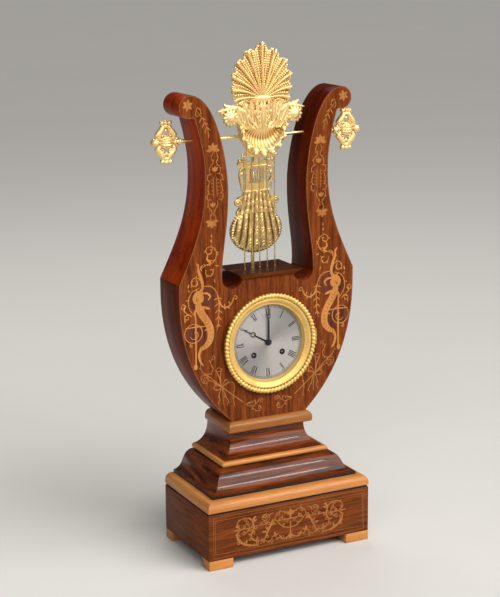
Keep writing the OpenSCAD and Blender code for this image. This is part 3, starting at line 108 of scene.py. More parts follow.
def deselect() -> None:
    """Leaves nothing selected, in object mode."""
    if bpy.context.object and bpy.context.object.mode != "OBJECT":
        bpy.ops.object.mode_set(mode="OBJECT")
    bpy.ops.object.select_all(action="DESELECT")


def activate(obj: Obj) -> Obj:
    """Selects one object alone and makes it active."""
    deselect()
    obj.select_set(True)
    bpy.context.view_layer.objects.active = obj
    return obj


@contextmanager
def editing(obj: Obj, select: bool = True) -> Iterator[None]:
    """Edit mode on one object, with all or none of its mesh selected.

    Args:
        obj: The object.
        select: Whether its whole mesh starts selected.

    Yields:
        Nothing, while edit mode lasts.
    """
    activate(obj)
    bpy.ops.object.mode_set(mode="EDIT")
    bpy.ops.mesh.select_mode(type="VERT")
    bpy.ops.mesh.select_all(action="SELECT" if select else "DESELECT")
    yield
    bpy.ops.object.mode_set(mode="OBJECT")


def named(name: str) -> Obj:
    """Names the object that an operator has just added."""
    bpy.context.object.name = name
    return bpy.context.object


def link(name: str, data: bpy.types.ID) -> Obj:
    """Puts a new object with its data into the scene."""
    obj = bpy.data.objects.new(name, data)
    bpy.context.scene.collection.objects.link(obj)
    return obj


def settle(obj: Obj) -> Obj:
    """Applies an object's place, turn and scale to its mesh."""
    activate(obj)
    bpy.ops.object.transform_apply(location=True, rotation=True, scale=True)
    return obj


def tidy(obj: Obj, merge: float = 1e-6) -> Obj:
    """Merges doubles within a distance in metres and turns all faces outwards."""
    with editing(obj):
        bpy.ops.mesh.remove_doubles(threshold=merge)
        bpy.ops.mesh.normals_make_consistent(inside=False)
    return obj


def modify(obj: Obj, kind: str, **settings: object) -> Obj:
    """Adds one modifier with its settings and applies it.

    Args:
        obj: The object.
        kind: Type of the modifier.
        settings: Its settings.

    Returns:
        The same object.
    """
    activate(obj)
    mod = obj.modifiers.new(kind.lower(), kind)
    for key, value in settings.items():
        setattr(mod, key, value)
    bpy.ops.object.modifier_apply(modifier=mod.name)
    return obj


def ease_edges(obj: Obj, width: float, segments: int = 2, angle: float = 32.0) -> Obj:
    """Rounds the edges sharper than an angle in degrees, by a width in mm."""
    limit = {"limit_method": "ANGLE", "angle_limit": radians(angle), "use_clamp_overlap": True}
    return modify(obj, "BEVEL", width=width * MM, segments=segments, **limit)


def smooth(obj: Obj, angle: float) -> Obj:
    """Smooth shading that keeps edges sharper than an angle in degrees."""
    activate(obj)
    bpy.ops.object.shade_smooth_by_angle(angle=radians(angle))
    return obj


def join(parts: Sequence[Obj], name: str) -> Obj:
    """Joins several meshes into one named piece.

    Args:
        parts: The meshes.
        name: Name of the piece.

    Returns:
        The joined piece.
    """
    for part in parts:
        settle(part)
    deselect()
    for part in parts:
        part.select_set(True)
    bpy.context.view_layer.objects.active = parts[0]
    if len(parts) > 1:
        bpy.ops.object.join()
    return named(name)


def copy_of(obj: Obj, name: str) -> Obj:
    """A copy with a mesh of its own."""
    twin = obj.copy()
    twin.data = obj.data.copy()
    twin.name = name
    bpy.context.scene.collection.objects.link(twin)
    return twin


def mirrored_copy(obj: Obj, name: str) -> Obj:
    """A copy on the other side of the clock's middle plane."""
    twin = copy_of(obj, name)
    twin.data.transform(Matrix.Scale(-1.0, 4, Vector((1.0, 0.0, 0.0))))
    with editing(twin):
        bpy.ops.mesh.flip_normals()
    return twin


def block(name: str, low: Sequence[float], high: Sequence[float]) -> Obj:
    """A box between two corners in mm.

    Args:
        name: Name of the piece.
        low: The lower corner.
        high: The upper corner.

    Returns:
        The new object.
    """
    deselect()
    size = [(b - a) * MM for a, b in zip(low, high)]
    middle = [(a + b) / 2 * MM for a, b in zip(low, high)]
    bpy.ops.mesh.primitive_cube_add(size=1.0, location=middle, scale=size)
    return settle(named(name))


def sheet(
    name: str,
    verts: Sequence[Sequence[float]],
    faces: Sequence[Sequence[int]],
    edges: Sequence[Sequence[int]] = (),
) -> Obj:
    """A mesh from points in mm and the corner numbers of its faces and loose edges."""
    mesh = bpy.data.meshes.new(name)
    mesh.from_pydata([Vector(v) * MM for v in verts], list(edges), list(faces))
    return link(name, mesh)


def draw_back(obj: Obj, depth: float) -> Obj:
    """Gives a flat sheet a depth in mm along Y, and turns its faces outwards."""
    with editing(obj):
        bpy.ops.mesh.extrude_region_move(TRANSFORM_OT_translate={"value": (0.0, depth * MM, 0.0)})
        bpy.ops.mesh.select_all(action="SELECT")
        bpy.ops.mesh.normals_make_consistent(inside=False)
    return obj


def thicken(obj: Obj, thick: float) -> Obj:
    """Thickens a cast sheet by so many mm towards its rear."""
    faces_front = obj.data.polygons[0].normal.y < 0
    return modify(obj, "SOLIDIFY", thickness=thick * MM, offset=-1.0 if faces_front else 1.0)


def trim(obj: Obj, at: Sequence[float], keep: Sequence[float]) -> None:
    """Cuts a piece at a plane through a point in mm, and keeps the side that the plane's normal shows."""
    with editing(obj):
        bpy.ops.mesh.bisect(plane_co=Vector(at) * MM, plane_no=keep, use_fill=True, clear_inner=True)


def mark_faces(obj: Obj, name: str, values: Sequence[float]) -> None:
    """Stores a value for each face, for the finish to read."""
    layer = obj.data.attributes.new(name, "FLOAT", "FACE")
    layer.data.foreach_set("value", values)


def slab(name: str, loops: Sequence[Sequence[Point]], front: float, back: float) -> Obj:
    """A board cut to an outline in X and Z, with holes where more loops are given.

    Args:
        name: Name of the piece.
        loops: The outline, then the holes, as closed runs of points in mm.
        front: Y of the front face in mm.
        back: Y of the back face in mm.

    Returns:
        The new object.
    """
    verts: list[Sequence[float]] = []
    edges: list[Sequence[int]] = []
    for loop in loops:
        start = len(verts)
        verts += [(x, back, z) for x, z in loop]
        edges += [(start + i, start + (i + 1) % len(loop)) for i in range(len(loop))]
    obj = sheet(name, verts, (), edges)
    with editing(obj):
        if len(loops) > 1:
            bpy.ops.mesh.fill(use_beauty=True)
        else:
            bpy.ops.mesh.edge_face_add()
    return draw_back(obj, front - back)


def turned(name: str, profile: Sequence[Point], centre: Sequence[float], axis: Axis, steps: int) -> Obj:
    """A turned piece from a profile of [radius, place along the axis].

    Args:
        name: Name of the piece.
        profile: Points of the profile in mm.
        centre: Where the profile's zero lies, in mm.
        axis: The axis of the lathe.
        steps: Faces round the piece.

    Returns:
        The new object.
    """
    spots = {
        Axis.X: lambda r, a: (a, r, 0.0),
        Axis.Y: lambda r, a: (r, a, 0.0),
        Axis.Z: lambda r, a: (r, 0.0, a),
    }
    verts = [spots[axis](r, a) for r, a in profile]
    obj = sheet(name, verts, (), [(i, i + 1) for i in range(len(verts) - 1)])
    merge = {"use_merge_vertices": True, "merge_threshold": 1e-6}
    modify(obj, "SCREW", axis=axis.value, steps=steps, render_steps=steps, **merge)
    obj.location = Vector(centre) * MM
    return tidy(settle(obj))


def relief(name: str, across: int, along: int, place: Place, back: float | None = None) -> Obj:
    """A cast surface: a grid whose points are moved to where place says, walled back to a flat rear.

    Args:
        name: Name of the piece.
        across: Faces across.
        along: Faces along.
        place: Gives the point in mm for shares 0 to 1 across and along.
        back: Y of the flat rear in mm, or None for a sheet.

    Returns:
        The new object.
    """
    deselect()
    bpy.ops.mesh.primitive_grid_add(x_subdivisions=across, y_subdivisions=along, size=1.0)
    obj = named(name)
    for v in obj.data.vertices:
        v.co = Vector(place(v.co.x + 0.5, v.co.y + 0.5)) * MM
    if back is None:
        return obj
    with editing(obj, select=False):
        bpy.ops.mesh.select_mode(type="EDGE")
        bpy.ops.mesh.select_non_manifold()
        bpy.ops.mesh.extrude_edges_move(TRANSFORM_OT_translate={"value": (0.0, 0.0, 0.0)})
    for v in obj.data.vertices:
        if v.select:
            v.co.y = back * MM
    with editing(obj, select=False):
        bpy.ops.mesh.select_mode(type="EDGE")
        bpy.ops.mesh.select_non_manifold()
        bpy.ops.mesh.edge_face_add()
    return tidy(obj)


def tube(name: str, path: Sequence[Sequence[float]], radii: Sequence[float], sides: int) -> Obj:
    """A round bar along a path, with its own radius at each point.

    Args:
        name: Name of the piece.
        path: Points in mm.
        radii: Radius at each point in mm.
        sides: Resolution of the section.

    Returns:
        The new object.
    """
    curve = bpy.data.curves.new(name, "CURVE")
    curve.dimensions = "3D"
    curve.bevel_depth = MM
    curve.bevel_resolution = sides
    curve.use_fill_caps = True
    spline = curve.splines.new("POLY")
    spline.points.add(len(path) - 1)
    for spot, p, r in zip(spline.points, path, radii):
        spot.co = (*(Vector(p) * MM), 1.0)
        spot.radius = r
    activate(link(name, curve))
    bpy.ops.object.convert(target="MESH")
    return tidy(named(name))


def bead(name: str, centre: Sequence[float], radii: Sequence[float], rings: int) -> Obj:
    """A cast bead from its middle and its radii along X, Y and Z, in mm.

    Args:
        name: Name of the piece.
        centre: Its middle.
        radii: Its radii.
        rings: Rows of faces.

    Returns:
        The new object.
    """
    deselect()
    bpy.ops.mesh.primitive_uv_sphere_add(
        segments=2 * rings, ring_count=rings, radius=MM, location=Vector(centre) * MM, scale=radii
    )
    return settle(named(name))


def ring(
    name: str, centre: Sequence[float], major: float, minor: float, axis: Axis, sides: tuple[int, int]
) -> Obj:
    """A round ring about an axis: middle and radii in mm, faces round it and round its section.

    Args:
        name: Name of the piece.
        centre: Its middle.
        major: Radius of the ring.
        minor: Radius of its section.
        axis: The axis.
        sides: Faces round the ring and round its section.

    Returns:
        The new object.
    """
    turns = {Axis.X: (0.0, pi / 2, 0.0), Axis.Y: (pi / 2, 0.0, 0.0), Axis.Z: (0.0, 0.0, 0.0)}
    deselect()
    bpy.ops.mesh.primitive_torus_add(
        major_radius=major * MM,
        minor_radius=minor * MM,
        major_segments=sides[0],
        minor_segments=sides[1],
        location=Vector(centre) * MM,
        rotation=turns[axis],
    )
    return settle(named(name))


def fuse(obj: Obj, voxel: float, rounds: int = 3) -> Obj:
    """Melts a casting's parts into one skin with faces of voxel mm, then smooths it in rounds."""
    modify(obj, "REMESH", mode="VOXEL", voxel_size=voxel * MM, use_smooth_shade=True)
    return modify(obj, "SMOOTH", factor=0.5, iterations=rounds)


def mark_painted_shade(obj: Obj, rounds: int = 60, depth: float = 0.8) -> Obj:
    """Marks the hollows of a casting in its own attribute, 0 on crests, 0.5 on plain skin, 1 in grooves,
    where the finish paints shade.

    Args:
        obj: The casting.
        rounds: Rounds of smoothing that find the skin's general run.
        depth: Depth in mm below that run that counts as a full groove.

    Returns:
        The same object.
    """
    mesh = obj.data
    count = len(mesh.vertices)
    spots, normals = np.empty(3 * count), np.empty(3 * count)
    ends = np.empty(2 * len(mesh.edges), dtype=np.int32)
    mesh.vertices.foreach_get("co", spots)
    mesh.vertices.foreach_get("normal", normals)
    mesh.edges.foreach_get("vertices", ends)
    a, b = ends[0::2], ends[1::2]
    degree = np.maximum(np.bincount(ends, minlength=count), 1)
    run = spots.reshape(-1, 3).copy()
    for _ in range(rounds):
        sums = [np.bincount(a, k[b], count) + np.bincount(b, k[a], count) for k in run.T]
        run = np.stack([total / degree for total in sums], axis=1)
    sink = ((run - spots.reshape(-1, 3)) * normals.reshape(-1, 3)).sum(axis=1) / MM
    layer = mesh.attributes.new("recess", "FLOAT", "POINT")
    layer.data.foreach_set("value", np.clip(0.5 + sink / (2 * depth), 0.0, 1.0).astype(np.float32))
    return obj


def cad_copy(node: str, name: str, edge: float, frame: dict) -> Obj:
    """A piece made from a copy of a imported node, with its sharp edges eased.

    Args:
        node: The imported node.
        name: Name of the piece.
        edge: Width of the eased edges in mm, or 0 for none.

    Returns:
        The new object.
    """
    obj = copy_of(frame["nodes"][node], name)
    for key in list(obj.keys()):
        del obj[key]
    obj.parent = None
    tidy(obj, 2e-6)
    with editing(obj):
        bpy.ops.mesh.dissolve_limited(angle_limit=radians(0.4))
    if edge:
        ease_edges(obj, edge)
    return obj


def dress(
    obj: Obj,
    mat: Mat,
    slot: str,
    stands_for: Sequence[str] = (),
    angle: float = 34.0,
    body: Body = Body.CASE,
) -> Obj:
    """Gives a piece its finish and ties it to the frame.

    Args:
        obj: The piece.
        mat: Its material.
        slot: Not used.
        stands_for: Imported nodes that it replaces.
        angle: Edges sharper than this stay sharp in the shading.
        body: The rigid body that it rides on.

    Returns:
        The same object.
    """
    settle(obj)
    obj.data.materials.clear()
    obj.data.materials.append(mat)
    smooth(obj, angle)
    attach(obj, body.value)
    if stands_for:
        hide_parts(*stands_for)
    LOG.info("%s: %d faces", obj.name, len(obj.data.polygons))
    return obj


# Paths


def cubic(a: Point, b: Point, c: Point, d: Point, steps: int = 36) -> list[Point]:
    """Points along a cubic curve, without its last point.

    Args:
        a: First point.
        b: Pull at the first point.
        c: Pull at the last point.
        d: Last point.
        steps: Number of points.

    Returns:
        The points.
    """
    out = []
    for i in range(steps):
        t = i / steps
        s = 1 - t
        w = (s * s * s, 3 * s * s * t, 3 * s * t * t, t * t * t)
        out.append(tuple(sum(k * p[n] for k, p in zip(w, (a, b, c, d))) for n in (0, 1)))
    return out


def arc(centre: Point, r: float, start: float, end: float, steps: int) -> list[Point]:
    """Points along an arc from one angle to another, degrees."""
    turns = [radians(start + (end - start) * i / steps) for i in range(steps + 1)]
    return [(centre[0] + r * cos(a), centre[1] + r * sin(a)) for a in turns]


def circle(centre: Point, r: float, steps: int) -> list[Point]:
    """Points all the way round a circle."""
    return arc(centre, r, 0, 360, steps)[:-1]


def through(points: Sequence[Point], steps: int) -> list[Point]:
    """A smooth run of points through the given ones.

    Args:
        points: The given points.
        steps: Points for each given one.

    Returns:
        The points.
    """
    pts = [points[0], *points, points[-1]]
    out = []
    for p0, p1, p2, p3 in zip(pts, pts[1:], pts[2:], pts[3:]):
        for i in range(steps):
            t = i / steps
            near = -0.5 * t**3 + t * t - 0.5 * t
            mine = 1.5 * t**3 - 2.5 * t * t + 1
            next_one = -1.5 * t**3 + 2 * t * t + 0.5 * t
            far = 0.5 * t**3 - 0.5 * t * t
            share = (near, mine, next_one, far)
            out.append(tuple(sum(k * p[n] for k, p in zip(share, (p0, p1, p2, p3))) for n in (0, 1)))
    return [*out, tuple(points[-1])]


def rib(share: float, count: float) -> float:
    """Rounded ribs across a fan: 1 on a crest and 0 in a groove."""
    return abs(sin(pi * share * count))


def swelling(share: float, at: float, width: float) -> float:
    """A soft swelling: 1 at a share, fading over a width to both sides."""
    return exp(-(((share - at) / width) ** 2))


# Finishes


class Graph:
    """A small builder of material node graphs."""

    def __init__(self, name: str) -> None:
        """Starts a material with one shader.

        Args:
            name: Name of the material.
        """
        self.mat = bpy.data.materials.new(name)
        self.mat.use_nodes = True
        self.tree = self.mat.node_tree
        self.tree.nodes.clear()
        self.shader = self.tree.nodes.new("ShaderNodeBsdfPrincipled")
        out = self.tree.nodes.new("ShaderNodeOutputMaterial")
        self.tree.links.new(self.shader.outputs[0], out.inputs[0])

    def put(self, node: bpy.types.Node, key: str | int, value: object) -> None:
        """Sets a socket to a value, or links it where the value is a socket."""
        if isinstance(value, bpy.types.NodeSocket):
            self.tree.links.new(value, node.inputs[key])
        else:
            node.inputs[key].default_value = value

    def node(self, kind: str, inputs: dict | None = None, **props: object) -> bpy.types.Node:
        """Adds a node.

        Args:
            kind: The node's type after ShaderNode.
            inputs: Values or sockets by input name or number.
            props: Other settings of the node.

        Returns:
            The new node.
        """
        made = self.tree.nodes.new("ShaderNode" + kind)
        for key, value in props.items():
            setattr(made, key, value)
        for key, value in (inputs or {}).items():
            self.put(made, key, value)
        return made

    def shade(self, **inputs: object) -> None:
        """Sets the shader's sockets, spaces written as underscores."""
        for key, value in inputs.items():
            self.put(self.shader, key.replace("_", " "), value)

    def coords(self, shift: Sequence[float] = (0.0, 0.0, 0.0)) -> Socket:
        """Object coordinates, moved."""
        base = self.node("TexCoord").outputs["Object"]
        return self.node("Mapping", {"Vector": base, "Location": shift}).outputs[0]

    def noise(self, vector: object, scale: float, detail: float = 3.0, rough: float = 0.55) -> Socket:
        """A noise value from a vector."""
        sockets = {"Vector": vector, "Scale": scale, "Detail": detail, "Roughness": rough}
        return self.node("TexNoise", sockets).outputs[0]

    def ramp(self, value: object, stops: Sequence[tuple[float, Colour]]) -> Socket:
        """Colours from a value.

        Args:
            value: The value.
            stops: Places from 0 to 1 and their colours.

        Returns:
            The colour.
        """
        made = self.node("ValToRGB", {0: value})
        while len(made.color_ramp.elements) < len(stops):
            made.color_ramp.elements.new(0.5)
        for element, (place, colour) in zip(made.color_ramp.elements, stops):
            element.position = place
            element.color = (*colour, 1.0)
        return made.outputs[0]

    def blend(self, factor: object, a: object, b: object, mode: str = "MIX") -> Socket:
        """Mixes two colours."""
        made = self.node("Mix", {0: factor, 6: a, 7: b}, data_type="RGBA", blend_type=mode)
        return made.outputs[2]

    def span(self, value: object, low: float, high: float, frm: Point = (0.0, 1.0)) -> Socket:
        """Maps a value's range to another."""
        sockets = {0: value, 1: frm[0], 2: frm[1], 3: low, 4: high}
        return self.node("MapRange", sockets).outputs[0]

    def bump(self, height: object, strength: float, depth: float) -> Socket:
        """A bump from a height."""
        sockets = {"Height": height, "Strength": strength, "Distance": depth}
        return self.node("Bump", sockets).outputs[0]


@dataclass(frozen=True)
class Wood:
    """A polished veneer with broad figure, dark streaks and fine pores, and painted shade on faces marked
    in its inner attribute.
    """

    name: str
    dark: Colour
    mid: Colour
    light: Colour
    stripes: float
    pores: float = 0.35
    streaks: float = 0.3
    roughness: float = 0.3
    coat: float = 0.15
    gloss: float = 0.15

    def material(self, grain: Grain, seed: float = 0.0) -> Mat:
        """The veneer with its grain laid one way.

        Args:
            grain: Direction of the grain.
            seed: Shift of the pattern, so that two boards differ.

        Returns:
            The material.
        """
        g = Graph(f"{self.name}_{grain.name.lower()}_{seed:g}")
        flow = g.coords(shift=(seed, seed * 0.7, seed * 0.3))
        sway = g.node("TexNoise", {"Vector": flow, "Scale": 9.0, "Detail": 2.0}).outputs[1]
        bent = g.node("MixRGB", {0: 0.012, 1: flow, 2: sway}, blend_type="ADD").outputs[0]
        along = g.node("Mapping", {"Vector": bent, "Scale": grain.value}).outputs[0]
        broad = g.noise(along, self.stripes, 4.0, 0.6)
        line = g.noise(along, self.stripes * 2.4, 4.0, 0.6)
        fine = g.noise(along, self.stripes * 6.0, 3.0, 0.7)
        colour = g.ramp(broad, [(0.3, self.dark), (0.5, self.mid), (0.72, self.light)])
        for value, depth in ((line, self.streaks), (fine, self.pores)):
            colour = g.blend(1.0, colour, g.span(value, 1.0 - depth, 1.0, (0.36, 0.52)), "MULTIPLY")
        # Painted shade: faces marked in the inner attribute are darkened, down to 0.3 of their colour at a
        # mark of 1.
        inner = g.span(g.node("Attribute", attribute_name="inner").outputs["Fac"], 1.0, 0.3)
        colour = g.blend(1.0, colour, inner, "MULTIPLY")
        g.shade(
            Base_Color=colour,
            Roughness=g.span(g.noise(flow, 35.0), self.roughness * 0.8, self.roughness * 1.3),
            Specular_IOR_Level=self.gloss,
            Coat_Weight=self.coat,
            Coat_Roughness=0.07,
            Normal=g.bump(fine, 0.1, 0.0001),
        )
        return g.mat


@dataclass(frozen=True)
class Metal:
    """A metal with mottled brightness, a slight grain, and painted shade in the hollows of castings that
    mark them.
    """

    name: str
    colour: Colour
    recess: Colour
    roughness: float
    mottle: float = 0.12
    grain: float = 900.0
    bump: float = 0.1
    cavities: bool = False
    metallic: float = 1.0

    def material(self) -> Mat:
        """The metal's material."""
        g = Graph(self.name)
        flow = g.coords()
        cloud = g.noise(flow, 60.0, 4.0)
        speck = g.noise(flow, self.grain, 2.0)
        soiled = g.span(cloud, 0.0, self.mottle * 3.0, (0.45, 0.8))
        colour = g.blend(soiled, (*self.colour, 1.0), (*self.recess, 1.0))
        # Painted shade: the hollows marked in the recess attribute are blended towards the recess colour.
        if self.cavities:
            hollow_shade = g.node("Attribute", attribute_name="recess").outputs["Fac"]
            colour = g.blend(g.span(hollow_shade, 0.0, 1.0, (0.5, 0.86)), colour, (*self.recess, 1.0))
        g.shade(
            Base_Color=colour,
            Metallic=self.metallic,
            Roughness=g.span(cloud, self.roughness * 0.75, self.roughness * 1.35),
            Normal=g.bump(speck, self.bump, 0.00015),
        )
        return g.mat


@dataclass(frozen=True)
class SilveredDial:
    """Matt silvered metal, brushed outwards from the middle, with a painted sheen: two bright lobes at the
    upper left and lower right.
    """

    colour: Colour
    shade: Colour
    centre_z: float

    def material(self) -> Mat:
        """The dial's material."""
        g = Graph("silvered_dial")
        flow = g.coords(shift=(0.0, 0.0, -self.centre_z * MM))
        axes = g.node("SeparateXYZ", {0: flow})
        turn = g.node("Math", {0: axes.outputs["X"], 1: axes.outputs["Z"]}, operation="ARCTAN2").outputs[0]
        sockets = {"W": turn, "Scale": 26.0, "Detail": 5.0}
        rays = g.node("TexNoise", sockets, noise_dimensions="1D").outputs[0]
        cloud = g.noise(flow, 45.0, 3.0)
        # Painted sheen: two bright lobes, upper left and lower right, are mixed into the colour by the
        # angle round the middle.
        twice = g.node("Math", {0: turn, 1: 2.0, 2: pi / 2}, operation="MULTIPLY_ADD").outputs[0]
        wedge = g.node("Math", {0: twice}, operation="COSINE").outputs[0]
        painted_sheen = g.span(wedge, 0.2, 0.8, (-1.0, 1.0))
        mix = g.node("Math", {0: rays, 1: 0.45, 2: painted_sheen}, operation="MULTIPLY_ADD").outputs[0]
        mix = g.node("Math", {0: cloud, 1: 0.3, 2: mix}, operation="MULTIPLY_ADD").outputs[0]
        g.shade(
            Base_Color=g.ramp(mix, [(0.5, self.shade), (1.0, self.colour)]),
            Metallic=0.5,
            Roughness=g.span(rays, 0.36, 0.5),
            Normal=g.bump(rays, 0.06, 0.0001),
        )
        return g.mat


@dataclass(frozen=True)
class ClearGlass:
    """Thin clear glass that lets light straight through and shines at its edges."""

    tint: Colour
    body: float

    def material(self) -> Mat:
        """The glass material."""
        g = Graph("clear_glass")
        film = g.noise(g.coords(), 30.0, 2.0)
        g.shade(
            Base_Color=(*self.tint, 1.0),
            Roughness=g.span(film, 0.02, 0.06),
            Alpha=self.body,
            Specular_IOR_Level=0.8,
        )
        return g.mat


class Palette:
    """Every finish of the clock, made once."""

    def __init__(self, dial_z: float) -> None:
        """Makes the materials.

        Args:
            dial_z: Height of the dial's middle in mm.
        """
        # Dark, middle and light colour, then stripes, pores, streaks, roughness, coat and gloss
        woods = {
            "rosewood": ((0.085, 0.016, 0.003), (0.165, 0.036, 0.0068), (0.235, 0.057, 0.011),
                210, 0.45, 0.35, 0.3, 0.04, 0.05),
            "rosewood_base": ((0.085, 0.018, 0.0045), (0.165, 0.04, 0.0095), (0.22, 0.058, 0.015),
                180, 0.35, 0.3, 0.3, 0.02, 0.04),
            "rosewood_figured": ((0.04, 0.008, 0.002), (0.15, 0.031, 0.006), (0.27, 0.062, 0.013),
                110, 0.35, 0.75, 0.24, 0.4, 0.08),
            "rosewood_side": ((0.13, 0.012, 0.0015), (0.29, 0.03, 0.0035), (0.4, 0.05, 0.006),
                60, 0.25, 0.25, 0.28, 0.015, 0.03),
            "rosewood_shade": ((0.05, 0.007, 0.0012), (0.13, 0.018, 0.003), (0.2, 0.03, 0.005),
                60, 0.25, 0.3, 0.28, 0.015, 0.03),
            "boxwood": ((0.41, 0.15, 0.035), (0.51, 0.2, 0.05), (0.58, 0.24, 0.065),
                140, 0.12, 0.1, 0.3, 0.2),
            "boxwood_cap": ((0.24, 0.08, 0.017), (0.3, 0.106, 0.023), (0.35, 0.13, 0.031),
                140, 0.12, 0.1, 0.3, 0.15),
            "inlay": ((0.36, 0.13, 0.027), (0.46, 0.178, 0.04), (0.53, 0.22, 0.054), 260, 0.1, 0.1),
            "inlay_fine": ((0.27, 0.095, 0.021), (0.35, 0.128, 0.03), (0.41, 0.158, 0.04),
                260, 0.1, 0.1),
            "edge_line": ((0.2, 0.066, 0.018), (0.27, 0.092, 0.025), (0.32, 0.115, 0.034),
                260, 0.1, 0.1),
            "dark_ground": ((0.08, 0.019, 0.011), (0.122, 0.031, 0.015), (0.155, 0.042, 0.019),
                150, 0.35, 0.3, 0.3, 0.04, 0.05),
            "ebony": ((0.006, 0.004, 0.004), (0.012, 0.008, 0.007), (0.022, 0.014, 0.011),
                160, 0.3, 0.2, 0.26, 0.3),
            "softwood": ((0.13, 0.055, 0.02), (0.19, 0.085, 0.031), (0.24, 0.115, 0.045),
                90, 0.15, 0.25, 0.6, 0.0, 0.1),
            "dial_black": ((0.006, 0.006, 0.007), (0.01, 0.01, 0.011), (0.016, 0.016, 0.017),
                300, 0.1, 0.1, 0.45, 0.0),
        }

        def veneer(name: str, grain: Grain, seed: float = 0.0) -> Mat:
            """One wood of the table, with its grain laid one way."""
            return Wood(name, *woods[name]).material(grain, seed)

        level, upright = Grain.LEVEL, Grain.UPRIGHT
        self.front = veneer("rosewood", upright)
        self.base = veneer("rosewood_base", level, 1.3)
        self.level = veneer("rosewood_figured", level, 1.3)
        self.side = veneer("rosewood_side", upright, 2.1)
        # A darker rosewood that paints shade onto the bowl's sides.
        self.shade = veneer("rosewood_shade", upright, 2.7)
        self.shelf = veneer("rosewood", level, 3.4)
        self.box = veneer("boxwood", level)
        self.foot = veneer("boxwood", level, 4.2)
        self.cap = veneer("boxwood_cap", level, 5.1)
        self.inlay = veneer("inlay", upright)
        self.fine = veneer("inlay_fine", upright)
        self.line = veneer("edge_line", upright)
        self.ground = veneer("dark_ground", upright)
        self.ebony = veneer("ebony", level)
        self.pine = veneer("softwood", level)
        self.dowel = veneer("softwood", upright, 1.0)
        self.ink = veneer("dial_black", level)
        # Colour and recess colour, then roughness, mottle, grain, bump, cavities and metallic; the recess
        # colour serves the random mottle and, with cavities set, painted shade in the hollows of castings
        metals = {
            "gilt_bronze": ((0.86, 0.62, 0.27), (0.36, 0.15, 0.025), 0.4, 0.1, 700, 0.18, True, 0.75),
            "gilt_dull": ((0.84, 0.6, 0.25), (0.16, 0.07, 0.014), 0.36, 0.22, 420, 0.6, True, 0.8),
            "gilt_rim": ((0.76, 0.5, 0.15), (0.22, 0.09, 0.015), 0.5, 0.08, 900, 0.05, True, 0.7),
            "gilt_burnished": ((0.95, 0.71, 0.31), (0.62, 0.38, 0.11), 0.3, 0.1, 900, 0.05),
            "brass": ((0.78, 0.56, 0.23), (0.42, 0.26, 0.08), 0.3, 0.14),
            "string_brass": ((0.8, 0.6, 0.28), (0.45, 0.3, 0.11), 0.26, 0.1),
            "steel": ((0.52, 0.53, 0.55), (0.26, 0.27, 0.29), 0.28, 0.15),
            "blued_steel": ((0.006, 0.006, 0.01), (0.003, 0.003, 0.005), 0.42, 0.1, 900, 0.04, False, 0.4),
        }
        cast = [Metal(name, *row).material() for name, row in metals.items()]
        self.gilt, self.dull, self.rim, self.burnished, *others = cast
        self.brass, self.wire, self.steel, self.blued = others
        self.silver = SilveredDial((0.50, 0.47, 0.44), (0.27, 0.255, 0.24), dial_z).material()
        self.glass = ClearGlass((0.02, 0.02, 0.02), 0.05).material()


# Plinth


